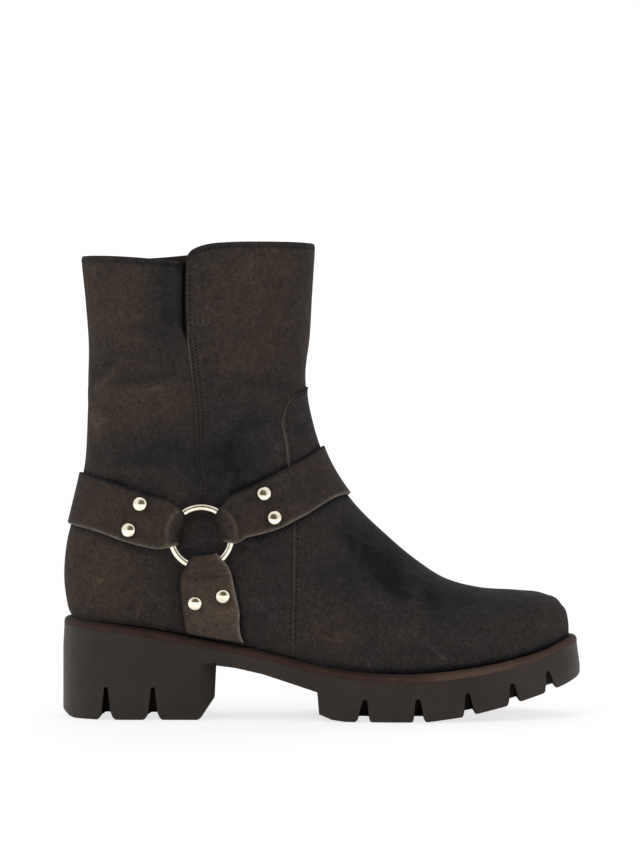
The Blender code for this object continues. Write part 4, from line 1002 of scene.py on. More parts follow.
def makeSheet(name, middle, pressed, tone, slot, node):
    # strip of even thickness along a grid of middle points, thinner and round at its two cut edges
    along, sideways = np.gradient(middle, axis=0), np.gradient(middle, axis=1)
    normal = unit(np.cross(along, sideways))
    gone = np.cumsum(np.linalg.norm(np.diff(middle, axis=1, prepend=middle[:, :1]), axis=2), axis=1)
    fromEdge = np.minimum(gone, gone[:, -1:] - gone)
    near = np.clip(1 - fromEdge / straps["edgeRound"], 0.0, 1.0)
    half = straps["thickness"] / 2 * np.maximum(np.sqrt(1 - near ** 2), straps["edgeLeast"])
    out = np.sign(np.sum(normal * np.array([0.0, -1.0, 0.0]), axis=-1).mean())
    lift = pressLift(middle) * pressed[:, None]
    upperFace = middle + normal * (out * (half + lift))[..., None]
    lowerFace = middle - normal * (out * half)[..., None]
    rows, columns = middle.shape[:2]
    # closed loop of columns over and under, so a row is one ring round the strap
    ringed = np.concatenate([upperFace, lowerFace[:, ::-1]], axis=1)
    count, k = 2 * columns, np.arange(columns - 1)
    cap = np.stack([k, k + 1, count - 2 - k, count - 1 - k], axis=-1)
    faces = [gridFaces(rows, count, wrapColumns=True), cap, cap + (rows - 1) * count]
    # the first edge gets a painted shadow, the second the pale colour of its bare cut
    dark, light = [bell(np.concatenate([away, away[:, ::-1]], axis=1) / straps["edgeLine"])
                   for away in (gone, gone[:, -1:] - gone)]
    tones = toneAt(ringed) * straps["patchShare"] + tone[:, None] - straps["edgeShadow"] * dark
    fields = {"tone": tones, "edge": light}
    piece = makePiece(name, ringed, faces, [nubuck("strapNubuck", strapLook)], fields=fields)
    settle(piece, slot, node)


def strapShade(points):
    # painted shadow on the leather beside the straps' edges: a bell of the distance in side view to points
    # along the edges
    shade = np.zeros(len(points))
    amount, reach = straps["edgeShade"]
    for name in ("harness", "stirrup"):
        length, lines = strapEdges(straps[name])
        samples = np.linspace(0, length, int(length / reach * 2))
        edges = strapGrid(lines, samples, 0 * samples)[:, [0, -1]].reshape(-1, 3)
        for side in (outer, inner):
            line = edges[edges[:, 1] * side > 0]
            if not len(line):
                continue
            low, high = line[:, 2].min() - 3 * reach, line[:, 2].max() + 3 * reach
            near = (points[:, 1] * side > 0) & (points[:, 2] > low) & (points[:, 2] < high)
            apart = points[near][:, None, ::2] - line[None, :, ::2]
            closest = np.sqrt(np.square(apart).sum(axis=2).min(axis=1))
            shade[near] = np.maximum(shade[near], amount * bell(closest / reach))
    return shade


def makeStraps():
    length, lines = strapEdges(straps["harness"])
    tail = straps["harnessTail"]
    distance = np.linspace(0, length, int(length / straps["rowStep"]) + 1)
    body = strapGrid(lines, distance, strapHeight(np.minimum(distance, length - distance), tail))
    rear = foldedEnd("rear", lines, 0.0, 1.0, tail)
    front = foldedEnd("front", lines, length, -1.0, tail)
    rows = blendRows(blendRows(rear[::-1], body), front)
    shown = np.zeros(len(rows))
    shown[len(rear):len(rows) - len(front)] = 1.0
    tone = np.full(len(rows), straps["tones"][0])
    tone[:len(rear)] += foldHighlightAndShade(rear)[::-1]
    tone[-len(front):] += foldHighlightAndShade(front)
    # rows beside each fold get the painted highlight too
    count, spread = straps["ridgeRows"]
    ridge = straps["foldHighlightAndShade"][0][0] * bell(np.arange(1, count + 1) / spread)
    tone[len(rear):len(rear) + len(ridge)] += ridge
    tone[-len(front) - len(ridge):-len(front)] += ridge[::-1]
    makeSheet("harnessStrap", rows, shown, tone, "strap_leather", "harness_strap")

    length, lines = strapEdges(straps["stirrup"])
    distance = np.linspace(0, length, int(length / straps["rowStep"]) + 1)
    body = strapGrid(lines, distance, strapHeight(distance, straps["stirrupTail"]))
    end = foldedEnd("stirrup", lines, 0.0, 1.0, straps["stirrupTail"])
    rows = blendRows(end[::-1], body)
    rows[..., 2] = np.maximum(rows[..., 2], featherZ(rows[..., 0]) + 2 * straps["gap"])
    shown = np.zeros(len(rows))
    shown[len(end):] = 1.0
    tone = np.interp(rows[:, :, 2].mean(axis=1), straps["stirrupToneZ"], straps["tones"][1][::-1])
    makeSheet("stirrupStrap", rows, shown, tone, "strap_leather", "stirrup_strap")


# Ring and rivets

def makeRing():
    # torus: a circle of wire carried round the ring
    middle, forward, upward, normal = ringFrame()
    around, about = [circle(count) for count in ringSize["sides"]]
    around, about = around[:, None, None], about[None, :, None]
    outward = forward * np.cos(around) + upward * np.sin(around)
    wire = ringSize["wire"] / 2
    points = middle + outward * (ringSize["radius"] + wire * np.cos(about)) + normal * wire * np.sin(about)
    faces = gridFaces(*ringSize["sides"], wrapRows=True, wrapColumns=True)
    piece = makePiece("harnessRing", points, faces, [plainFinish("ringNickel", ringLook)])
    settle(piece, "ring_metal", "ring")


rivets = {
    "radius": 0.0039,
    "height": 0.0024,
    "rim": 0.0005,
    "seat": 0.0001,
    "sides": 48,
    "dome": (0.94, 14),                      # its end as a share of a quarter turn, rows
    "domeWidth": 0.97,                       # by the radius
    "roll": (0.15, 7),                       # start of the rim's roll as such a share, rows
    "rollSize": (0.60, 0.55),                # half width and half height of the roll, by the rim
    "places": (
        ("stud_rear_upper", -0.0939, 0.1127), ("stud_rear_lower", -0.0997, 0.0992),
        ("stud_front_upper", -0.0311, 0.1173), ("stud_front_lower", -0.0256, 0.1049),
        ("stud_stirrup_rear", -0.0660, 0.0617), ("stud_stirrup_front", -0.0515, 0.0652),
    ),
}


def makeRivets():
    # profile of a dome on a rolled rim, turned about the outward direction of the leather
    (domeEnd, domeRows), (rollStart, rollRows) = rivets["dome"], rivets["roll"]
    dome = np.linspace(0, math.pi / 2 * domeEnd, domeRows)
    roll = np.linspace(math.pi / 2 * rollStart, -math.pi / 2, rollRows)
    radius, height, rim = rivets["radius"], rivets["height"], rivets["rim"]
    wide, high = [rim * share for share in rivets["rollSize"]]
    domeWide = radius * rivets["domeWidth"] * np.sin(dome)
    away = np.concatenate([domeWide, radius - wide + wide * np.cos(roll), [0.0]])
    above = np.concatenate([rim + (height - rim) * np.cos(dome), high + high * np.sin(roll), [0.0]])
    around = circle(rivets["sides"])
    faces = gridFaces(len(away), rivets["sides"], wrapColumns=True)
    finish = plainFinish("rivetNickel", rivetLook)
    lift = 3 * straps["gap"] + 2 * straps["thickness"] + rivets["seat"]
    for node, x, z in rivets["places"]:
        angle, turn = locate(x, z)
        normal = skinNormal(angle, turn, outer)
        place = skin(angle, turn, outer) + normal * (strapLift(angle, turn) + lift)
        forward = unit(np.array([1.0, 0.0, 0.0]) - normal * normal[0])
        upward = np.cross(normal, forward)
        outward = forward * np.cos(around)[:, None] + upward * np.sin(around)[:, None]
        points = place + away[:, None, None] * outward[None] + above[:, None, None] * normal
        piece = makePiece("rivet" + node[4:], points, faces, [finish])
        settle(piece, "stud_metal", node)


# Sole: side wall, underside and top as grids between the plan and the side profile

sole = {
    "gap": 0.0003,
    "taper": (0.0006, 0.0016),               # the side leans in towards its top: heel, forefoot
    "taperHeight": 0.0120,
    "plateau": (0.0100, 0.0010),             # inset of the raised top inside the welt, softness
    "edge": 0.0010,                          # rounding of the tread edge
    "soften": (0.0007, 9),                   # rounding of the profile's corners: stretch, samples
    "sharpDeg": 40.0,
    "wallRows": 64,
    "treadRows": (6, 1.6, 0.03),             # rows at the tread edge, crowding, share of the wall's height
    "columns": (44, 28),                     # across the underside and the top
    # stations close together: reach to both sides and number, at profile corners, slots and breast
    "cornerDetail": (-0.0006, 0.0006, 3),
    "slotDetail": (-0.0032, 0.0032, 25),
    "breastDetail": (-0.0009, 0.0007, 17),
    "stationLeast": 0.00004,
    "bevel": 0.0010,                         # cut off the bottom corners of the grooves and slots
    "stations": (60, 150, 60),
    # x, z of the underside, heel to toe
    "underside": (
        (-0.1420, 0.0075), (-0.1370, 0.0028), (-0.1335, 0.0006), (-0.1310, 0.0000), (-0.0652, 0.0000),
        (-0.0634, 0.0010), (-0.0560, 0.0119), (-0.0558, 0.0285), (-0.0448, 0.0271), (-0.0308, 0.0240),
        (-0.0110, 0.0177), (-0.0022, 0.0149), (-0.0020, 0.0038), (0.0047, 0.0010), (0.0120, 0.0000),
        (0.0540, 0.0000), (0.0740, 0.0026), (0.0970, 0.0077), (0.1180, 0.0136), (0.1290, 0.0172),
        (0.1355, 0.0200), (0.1420, 0.0250),
    ),
    # x and z at the top, width at the top, x of both bottom edges
    "grooves": (
        (0.0222, 0.0113, 0.0024, 0.0180, 0.0244), (0.0496, 0.0119, 0.0024, 0.0474, 0.0531),
        (0.0755, 0.0147, 0.0024, 0.0737, 0.0793), (0.0994, 0.0191, 0.0024, 0.0974, 0.1032),
        (0.1189, 0.0246, 0.0022, 0.1176, 0.1234),
    ),
    "slots": (-0.1130, -0.0884),             # middles of the slots in the heel's side
    "slotTop": (0.0165, 0.0014),             # z, width
    "slotFoot": (0.0045, 0.0042),
    "slotMouth": 0.0080,
    "slotDepth": 0.0110,
    "slotSoft": 0.0003,
    "grooveReach": (0.0080, 0.0030),         # a groove is cut in full this far from the side, softness
    "grooveRest": 0.0022,                    # and this deep further in
    "grooveShade": (0.0040, 0.0030),         # depth, and distance from the side, at which the painted shade in a groove is full
    "breastSkew": 0.0020,                    # the breast lies further back at the inner side, and is hollow
    "breastHollow": 0.0012,
    "breastReach": 0.0040,                   # spread of both along X
    "breast": (-0.0558, 0.0080, 0.0290),     # x, corner chamfer, top of the chamfer
    "chamferPast": 0.0004,                   # it runs on this far in front of the breast
    "chamferSoft": 0.0018,
}


def undersideProfile():
    # the underside with a notch cut in for every groove and slot
    points = list(sole["underside"])
    x, z = np.array(points).T
    footZ, footWidth = sole["slotFoot"]
    notches = [(left, right, middle - width / 2, middle + width / 2, top)
               for middle, top, width, left, right in sole["grooves"]]
    notches += [(middle - sole["slotMouth"] / 2, middle + sole["slotMouth"] / 2,
                 middle - footWidth / 2, middle + footWidth / 2, footZ) for middle in sole["slots"]]
    for left, right, topLeft, topRight, top in notches:
        # its two bottom corners are cut off
        cuts = []
        for mouth, inside in ((left, topLeft), (right, topRight)):
            beside = mouth + math.copysign(sole["bevel"], mouth - inside)
            foot = np.array([mouth, np.interp(mouth, x, z)])
            climb = np.array([inside, top]) - foot
            foot = foot + climb * sole["bevel"] / np.hypot(*climb)
            cuts.append([(beside, float(np.interp(beside, x, z))), tuple(foot.tolist())])
        notch = [*cuts[0], (topLeft, top), (topRight, top), *cuts[1][::-1]]
        before = [point for point in points if point[0] < notch[0][0]]
        points = before + notch + [point for point in points if point[0] > notch[-1][0]]
    return np.array(points)


soleProfile = undersideProfile()


def soleBottom(x):
    # profile averaged over a short stretch, so its corners are round
    stretch, samples = sole["soften"]
    shifts = np.linspace(-0.5, 0.5, samples) * stretch
    return np.mean([np.interp(x + shift, *soleProfile.T) for shift in shifts], axis=0)


def soleTop(x):
    return featherZ(x) - sole["gap"] - welt["height"] - welt["gap"]


def soleStations(insetHeel, insetFore, counts):
    # places along X, close together at the round ends
    heel, middle, toe = counts
    back, tip = last["soleBack"] + insetHeel, last["soleTip"] - insetFore
    turn = np.linspace(0, math.pi / 2, heel)
    parts = [last["heelCentre"] - (last["heelCentre"] - back) * np.cos(turn)]
    parts.append(np.linspace(last["heelCentre"], last["toeStart"], middle + 1)[1:-1])
    parts.append(last["toeStart"] + (tip - last["toeStart"]) * np.sin(np.linspace(0, math.pi / 2, toe)))
    return np.concatenate(parts)


def wallCuts(x, z):
    # how far the slots and the chamfered breast corners cut into the side
    topZ, topWidth = sole["slotTop"]
    footZ, footWidth = sole["slotFoot"]
    width = np.interp(z, (footZ, topZ), (footWidth, topWidth))
    slot = np.zeros_like(x)
    for middle in sole["slots"]:
        mask = smoothStep((width / 2 - np.abs(x - middle)) / sole["slotSoft"] / 2 + 0.5)
        slot = np.maximum(slot, mask * smoothStep((topZ - z) / sole["slotSoft"] / 2 + 0.5))
    breast, chamfer, chamferTop = sole["breast"]
    corner = np.clip(x - (breast - chamfer), 0.0, chamfer) * (x < breast + sole["chamferPast"])
    return slot, corner * smoothStep((chamferTop - z) / sole["chamferSoft"] + 0.5)


def soleWall(x, topX, z, leaning, side):
    # side of the sole: the plan drawn in towards its top, with a round tread edge, slots and breast corners
    plan = outlineHalf(x, side, 0.0, 0.0)
    lean = outlineHalf(topX, side, *sole["taper"])
    slope = np.gradient(plan, x)
    steep = np.hypot(slope, 1.0)
    height = np.clip(z - soleBottom(x)[:, None], 0.0, sole["edge"])
    rounding = sole["edge"] - np.sqrt(sole["edge"] ** 2 - (sole["edge"] - height) ** 2)
    slot, corner = wallCuts(x[:, None] + 0 * z, z)
    half = plan[:, None] + (lean - plan)[:, None] * leaning - rounding / steep[:, None]
    half = np.maximum(half - slot * sole["slotDepth"] - corner, 0.0)
    wallX = x[:, None] + (topX - x)[:, None] * leaning + rounding * (slope / steep)[:, None]
    if side == inner:
        wallX = wallX - sole["breastSkew"] * breastNear(x)[:, None] * (1 - leaning)
    return np.stack([wallX, swing(wallX) + side * half, z], axis=-1), slot


def breastNear(x):
    return bell((x - sole["breast"][0]) / sole["breastReach"])


def makeOutsole():
    reach = sole["cornerDetail"][1]
    corners = soleProfile[:, 0]
    corners = corners[(corners > last["soleBack"] + reach) & (corners < last["soleTip"] - reach)]
    details = ((corners, "cornerDetail"), (sole["slots"], "slotDetail"), (sole["breast"][:1], "breastDetail"))
    stations = [soleStations(0.0, 0.0, sole["stations"])]
    stations += [np.add.outer(places, np.linspace(*sole[name])).ravel() for places, name in details]
    x = np.unique(np.concatenate(stations).round(6))
    x = x[np.concatenate([[True], np.diff(x) > sole["stationLeast"]])]
    x[0], x[-1] = last["soleBack"], last["soleTip"]
    # each station keeps its share of the round ends on the drawn-in top
    ends = (last["soleBack"], last["heelCentre"], last["toeStart"], last["soleTip"])
    heelTaper, foreTaper = sole["taper"]
    topX = np.interp(x, ends, (ends[0] + heelTaper, ends[1], ends[2], ends[3] - foreTaper))
    low, high = soleBottom(x), soleTop(topX)
    # rows close together at the round tread edge
    count, crowding, share = sole["treadRows"]
    tread = np.linspace(0, 1, count + 1)[:-1] ** crowding * share
    rise = np.concatenate([tread, np.linspace(share, 1, sole["wallRows"] - count)])
    z = low[:, None] + (high - low)[:, None] * rise[None, :]
    leaning = np.clip((z - (high[:, None] - sole["taperHeight"])) / sole["taperHeight"], 0.0, 1.0)
    walls, slots = zip(*(soleWall(x, topX, z, leaning, side) for side in (outer, inner)))
    # the slots' cut into the side is also the painted shade inside them
    blocks, shades = list(walls), list(slots)
    # underside and top run across between the two walls, columns close at both sides
    notch = np.maximum(low - np.interp(x, *np.array(sole["underside"]).T), 0.0)[:, None]
    for row, columns in zip((0, -1), sole["columns"]):
        share = 0.5 - 0.5 * np.cos(np.linspace(0, math.pi, columns))[None, :, None]
        sheet = walls[0][:, row][:, None] * (1 - share) + walls[1][:, row][:, None] * share
        width = np.abs(sheet[:, -1, 1] - sheet[:, 0, 1])[:, None]
        fromEdge = np.minimum(share, 1 - share)[..., 0] * width
        if row == -1:
            inset, soft = sole["plateau"]
            sheet[..., 2] += smoothStep((fromEdge - inset) / soft) * (welt["height"] + welt["gap"])
            shade = np.zeros(sheet.shape[:2])
        else:
            # the breast is hollow, and the grooves are shallow away from the sides
            sheet[..., 0] -= sole["breastHollow"] * (4 * share * (1 - share))[..., 0] * breastNear(x)[:, None]
            reach, soft = sole["grooveReach"]
            filled = smoothStep((fromEdge - reach) / soft)
            sheet[..., 2] -= filled * np.maximum(notch - sole["grooveRest"], 0.0)
            # painted shade inside the grooves, full where they are deep and away from the side
            darkDepth, darkReach = sole["grooveShade"]
            shade = smoothStep(notch / darkDepth) * smoothStep(fromEdge / darkReach)
        blocks.append(sheet)
        shades.append(shade)
    starts = np.cumsum([0] + [shade.size for shade in shades])
    piece = makePiece("bootSole", np.concatenate([block.reshape(-1, 3) for block in blocks]),
                      [gridFaces(*shade.shape) + start for shade, start in zip(shades, starts)],
                      [plainFinish("soleRubber", rubberLook)], sharpDeg=sole["sharpDeg"],
                      fields={"shade": np.concatenate([shade.ravel() for shade in shades])})
    settle(piece, "sole_rubber", "outsole")


def outlineLoop(x, inset, height):
    # closed ring round the plan: back to tip on the outer side, then back on the inner
    sides = [np.column_stack([x, swing(x) + side * np.nan_to_num(outlineHalf(x, side, *inset)), height])
             for side in (outer, inner)]
    return np.concatenate([sides[0], sides[1][-2:0:-1]])


welt = {
    "height": 0.0042,
    "gap": 0.0001,
    "slant": (0.0024, 0.0014),               # how far its side slants in, above an upright foot
    "footRows": (0.0006, 3),                 # height of the first, number
    "slantRows": 9,
    "shelf": (0.0030, 0.0045, 0.0065),       # insets of the rows on its flat top
    "stations": (48, 90, 56),
    "sharpDeg": 60.0,
    "dark": (0.0020, 0.0010),                # painted shade along the top edge, under the upper: height, softness
    "darkLoss": (0.6, 0.0, 0.06),            # share of that painted shade that is lost between these X
    "pale": (0.082, 0.034),                  # X of the painted highlight along the welt, spread
}


def makeWelt():
    # strip carried round the plan: short upright side, slanting round to a flat shelf
    heelTaper, foreTaper = sole["taper"]
    slant, upright = welt["slant"]
    first, count = welt["footRows"]
    roll = np.linspace(0, math.pi / 2, welt["slantRows"])[1:]
    steps = [(0.0, 0.0), *((0.0, height) for height in np.linspace(first, upright, count))]
    steps += zip(slant * (1 - np.cos(roll)), upright + (welt["height"] - upright) * np.sin(roll))
    steps += [(shelf, welt["height"]) for shelf in welt["shelf"]]
    loops, heights = [], []
    for inset, height in [*steps, (None, welt["height"]), (None, 0.0)]:
        insets = sole["plateau"][:1] * 2 if inset is None else (heelTaper + inset, foreTaper + inset)
        x = soleStations(*insets, welt["stations"])
        loops.append(outlineLoop(x, insets, soleTop(x) + welt["gap"] + height))
        heights.append(np.full(len(loops[-1]), height))
    points = np.concatenate(loops)
    faces = gridFaces(len(loops), len(loops[0]), wrapRows=True, wrapColumns=True)
    (darkZ, soft), (loss, *lossX), (paleX, spread) = welt["dark"], welt["darkLoss"], welt["pale"]
    # painted shade along the welt's top edge, under the upper, less towards the toe
    dark = smoothStep((np.concatenate(heights) - darkZ) / soft) * (1 - loss * between(points[:, 0], *lossX))
    # the tone field carries the painted highlight along the welt towards the toe
    fields = {"shade": dark, "tone": bell((points[:, 0] - paleX) / spread)}
    finish = plainFinish("weltHide", weltLook)
    piece = makePiece("weltStrip", points, faces, [finish], sharpDeg=welt["sharpDeg"], fields=fields)
    settle(piece, "welt_leather", "welt")


insole = {
    "thickness": 0.0025,
    "clear": (0.0020, 0.0008),
    "cup": (0.0020, 4, 0.2),                 # height, power, share of the height below the plain thickness
    "stations": (24, 60, 28),
    "columns": 25,
}


def makeInsole():
    # board between the walls of the upper: flat below, cupped a little towards its edge above
    inset = [feather + upper["wall"] + clear for feather, clear in zip(last["featherInset"], insole["clear"])]
    x = soleStations(*inset, insole["stations"])
    share = np.linspace(0, 1, insole["columns"])[None, :]
    halves = [swing(x) + side * np.nan_to_num(outlineHalf(x, side, *inset)) for side in (outer, inner)]
    y = halves[0][:, None] * (1 - share) + halves[1][:, None] * share
    foot = featherZ(x)[:, None] + sole["gap"] + 0 * y
    height, power, sunk = insole["cup"]
    cup = insole["thickness"] + height * (np.abs(2 * share - 1) ** power - sunk)
    sheets = [np.stack([x[:, None] + 0 * y, y, foot + rise], axis=-1) for rise in (0 * y, cup + 0 * y)]
    rows, columns = y.shape
    ringed = np.concatenate([sheets[1], sheets[0][:, ::-1]], axis=1)
    faces = gridFaces(rows, 2 * columns, wrapColumns=True)
    piece = makePiece("insoleBoard", ringed, faces, [plainFinish("insoleHide", insoleLook)])
    settle(piece, "insole_leather", "insole")


# Stitches: small bars of thread, half sunk in the leather

stitching = {
    "pitch": 0.0025,
    "length": 0.0016,
    "ladder": (0.0019, 50.0),                # pitch and slant in degrees of the outer double row
    "ladderSize": 1.20,
    "width": 0.00038,
    "height": 0.00020,
    "sink": 0.00018,
    "bar": (7, 8),                           # places along a stitch and around it
    "probe": 0.0004,                         # the direction of a row is taken over twice this length
    "seamDeg": (89.0, 30.0, 1500),           # fan angles between which a seam is followed, steps
    "toplineSteps": 600,
    "tackSteps": 60,
    # seam, side, metres in front of the cut edge, heights of both ends
    "seams": (
        ("quarter", outer, 0.0021, 0.2380, 0.2045), ("vamp", outer, 0.0026, 0.1735, 0.0360),
        ("quarter", inner, 0.0022, 0.2400, 0.0480), ("quarter", inner, 0.0049, 0.2400, 0.0480),
        ("vamp", inner, 0.0026, 0.1735, 0.0360),
    ),
    "double": (("quarter", outer, 0.0018, 0.1990, 0.1120), ("quarter", outer, 0.0042, 0.1990, 0.1120)),
    # panel, side, share of the way from ridge to back at both ends
    "topline": (("front", outer, 0.0, 0.505), ("rear", outer, 0.56, 1.0), ("inner", inner, 0.0, 1.0)),
    # x of both ends of the bar tack at the foot of the slit, then the heights of its rows
    "tack": (-0.0688, -0.0578, 0.2097, 0.2084, 0.2071),
    "dark": ((0.3, (0.0030, 0.0028, 0.0027)), (0.7, (0.0075, 0.0066, 0.0060))),
    "faded": ((0.3, (0.0048, 0.0043, 0.0041)), (0.7, (0.0100, 0.0087, 0.0078))),
    "pale": ((0.3, (0.026, 0.022, 0.019)), (0.7, (0.048, 0.041, 0.035))),
}


def stitchRow(place, normal, pitch=stitching["pitch"], slant=0.0):
    # even steps along a path: place, direction and outward direction of every stitch
    gone = distanceAlong(place)
    count = max(int(gone[-1] / pitch), 1)
    at = (np.arange(count) + 0.5) * gone[-1] / count
    probe, lean = stitching["probe"], math.radians(slant)

    def along(values, where):
        return np.stack([np.interp(where, gone, column) for column in values.T], axis=-1)

    out, way = along(normal, at), unit(along(place, at + probe) - along(place, at - probe))
    return along(place, at), way * math.cos(lean) + np.cross(out, way) * math.sin(lean), out


def seamPath(seam, side, ahead, high, low):
    crossing = vampSeam if seam == "vamp" else quarterSeam
    first, final, steps = stitching["seamDeg"]
    angle = np.linspace(math.radians(first), math.radians(final), steps)
    height = seamHeight(angle, crossing(angle))
    angle = angle[(height < high) & (height > low)]
    share = np.clip(crossing(angle) - ahead / span(angle), 0.0, 1.0)
    panel = "vamp" if seam == "vamp" else "front"
    return facePath(panel, angle, share, side)


def facePath(panel, angle, share, side):
    turn = shareToTurn(angle, share)
    lift = panelLift(panel, angle, share, side)
    top = collarTop(panel, share, side)
    return finishedFace(angle, turn, side, lift, top), skinNormal(angle, turn, side)


def makeStitches():
    rows = [stitchRow(*seamPath(*seam)) for seam in stitching["seams"]]
    for panel, side, start, end in stitching["topline"]:
        share = np.linspace(start, end, stitching["toplineSteps"])
        panel = "front" if panel == "inner" else panel
        angle = collarTop(panel, share, side)
        angle = angle - upper["topStitch"] / polar(*skin(angle, shareToTurn(angle, share), side)[:, ::2].T)[1]
        rows.append(stitchRow(*facePath(panel, angle, share, side)))
    stitchPiece("seamStitches", rows, thread("seamThread", "dark"))
    rows = [stitchRow(*seamPath(*seam), *stitching["ladder"]) for seam in stitching["double"]]
    stitchPiece("ladderStitches", rows, thread("ladderThread", "faded"), stitching["ladderSize"])
    tack = []
    x0, x1, *heights = stitching["tack"]
    for height in heights:
        x = np.linspace(x0, x1, stitching["tackSteps"])
        angle, turn = locate(x, np.full(len(x), height))
        tack.append(stitchRow(*facePath("front", angle, turnToShare(angle, turn), outer)))
    stitchPiece("barTack", tack, thread("tackThread", "pale"))


def stitchPiece(name, rows, finish, size=1.0):
    # every stitch is a bar with round ends on a grid of places along and around it
    centre, way, out = [np.concatenate(part)[:, None, None, :] for part in zip(*rows)]
    aside = np.cross(out, way)
    sections, sides = stitching["bar"]
    along = np.linspace(-1, 1, sections)[None, :, None, None]
    about = circle(sides)[None, None, :, None]
    thick = np.sqrt(np.maximum(1 - along ** 4, 0.0))
    points = centre + way * along * size * stitching["length"] / 2 - out * stitching["sink"] * along ** 2
    ringed = aside * stitching["width"] * np.cos(about) + out * stitching["height"] * np.sin(about)
    points = points + thick * size * ringed
    starts = np.arange(len(centre)) * sections * sides
    faces = gridFaces(sections, sides, wrapColumns=True)[None] + starts[:, None, None]
    piece = makePiece(name, points, faces.reshape(-1, 4), [finish])
    settle(piece, "upper_leather")


# Finishes

def newFinish(name):
    finish = bpy.data.materials.new(name)
    finish.use_nodes = True
    return finish, finish.node_tree, finish.node_tree.nodes["Principled BSDF"]


def plug(tree, socket, value):
    # link an output, or set a plain value
    if isinstance(value, bpy.types.NodeSocket):
        tree.links.new(value, socket)
    else:
        socket.default_value = value


def feed(tree, node, **values):
    # inputs of a node by name, with _ for blanks
    for name, value in values.items():
        plug(tree, node.inputs[name.replace("_", " ")], value)


def addNode(tree, kind, **values):
    made = tree.nodes.new(kind)
    for name, value in values.items():
        if hasattr(made, name):
            setattr(made, name, value)
        else:
            feed(tree, made, **{name: value})
    return made


def ownPlace(tree):
    return addNode(tree, "ShaderNodeTexCoord").outputs["Object"]


def fieldOf(tree, name):
    return addNode(tree, "ShaderNodeAttribute", attribute_name=name).outputs["Fac"]


def maths(tree, operation, *values):
    made = addNode(tree, "ShaderNodeMath", operation=operation)
    for socket, value in zip(made.inputs, values):
        plug(tree, socket, value)
    return made.outputs[0]


def noiseAt(tree, vector, scale, detail=3.0, roughness=0.55, distortion=0.0):
    made = addNode(tree, "ShaderNodeTexNoise", Vector=vector, Scale=scale, Detail=detail, Roughness=roughness,
                   Distortion=distortion)
    return made.outputs["Fac"]


def noiseSum(tree, place, parts, middle):
    # noises about their middle, each by its share
    total = None
    for share, *noise in parts:
        level = noiseAt(tree, place, *noise)
        if middle:
            level = maths(tree, "SUBTRACT", level, middle)
        level = maths(tree, "MULTIPLY", level, share)
        total = maths(tree, "ADD", total, level) if total else level
    return total


def rampOf(tree, factor, stops):
    made = addNode(tree, "ShaderNodeValToRGB", Fac=factor)
    while len(made.color_ramp.elements) < len(stops):
        made.color_ramp.elements.new(0.5)
    for element, (place, colour) in zip(made.color_ramp.elements, stops):
        element.position = place
        element.color = (*colour, 1.0)
    return made.outputs["Color"]


def mixColour(tree, factor, first, second):
    made = addNode(tree, "ShaderNodeMix", data_type="RGBA")
    colours = [(*value, 1.0) if isinstance(value, tuple) else value for value in (first, second)]
    for number, value in zip((0, 6, 7), (factor, *colours)):
        plug(tree, made.inputs[number], value)
    return made.outputs[2]


def bumpOf(tree, shader, height, strength, distance):
    made = addNode(tree, "ShaderNodeBump", Strength=strength, Distance=distance, Height=height)
    feed(tree, shader, Normal=made.outputs["Normal"])


# Nubuck; every noise is scale, detail, roughness and distortion, with its share in front where it is summed
nap = {
    "toneShare": 0.42,
    "mottle": ((0.50, 38.0, 4.0, 0.6, 0.5), (0.55, 150.0, 5.0, 0.65, 0.3)),
    "grit": ((1.5, 1150.0, 3.0, 0.7), (2.3, 430.0, 5.0, 0.75, 0.6)),
    "scratchTurns": (0.35, 1.35, 2.25),      # about Y
    "scratchScale": (1.0, 1.0, 5.0),
    "scratchLine": (1000.0, 2.0, 0.5, 0.8),
    "scratchWhere": (130.0, 1.0),
    "scratchLeast": 0.36,
    "scratchShare": 4.6,
    "wearLeast": 0.3,
    "height": ((0.5, 2400.0, 4.0, 0.7), (0.5, 620.0, 3.0, 0.6)),
    "bumpDistance": 0.0006,
    "rough": 0.94,
    "gloss": ((0.25, 90.0, 4.0),),           # taken off the roughness
    "specular": 0.08,
    "edgeNoise": (500.0, 2.0),
}
upperLook = {
    "stops": (
        (0.02, (0.0060, 0.0056, 0.0060)), (0.28, (0.0139, 0.0122, 0.0123)), (0.45, (0.0174, 0.0144, 0.0133)),
        (0.70, (0.0268, 0.0189, 0.0137)), (1.0, (0.0430, 0.0320, 0.0228)),
    ),
    "cut": (0.112, 0.096, 0.083),            # bare leather at a cut edge
    "mottle": 0.92,
    "bump": 0.40,
}
strapLook = {
    "stops": (
        (0.05, (0.0085, 0.0074, 0.0072)), (0.40, (0.0162, 0.0132, 0.0120)),
        (0.70, (0.0264, 0.0190, 0.0144)), (1.0, (0.0440, 0.0326, 0.0246)),
    ),
    "cut": (0.160, 0.136, 0.116),
    "mottle": 0.85,
    "bump": 0.38,
}


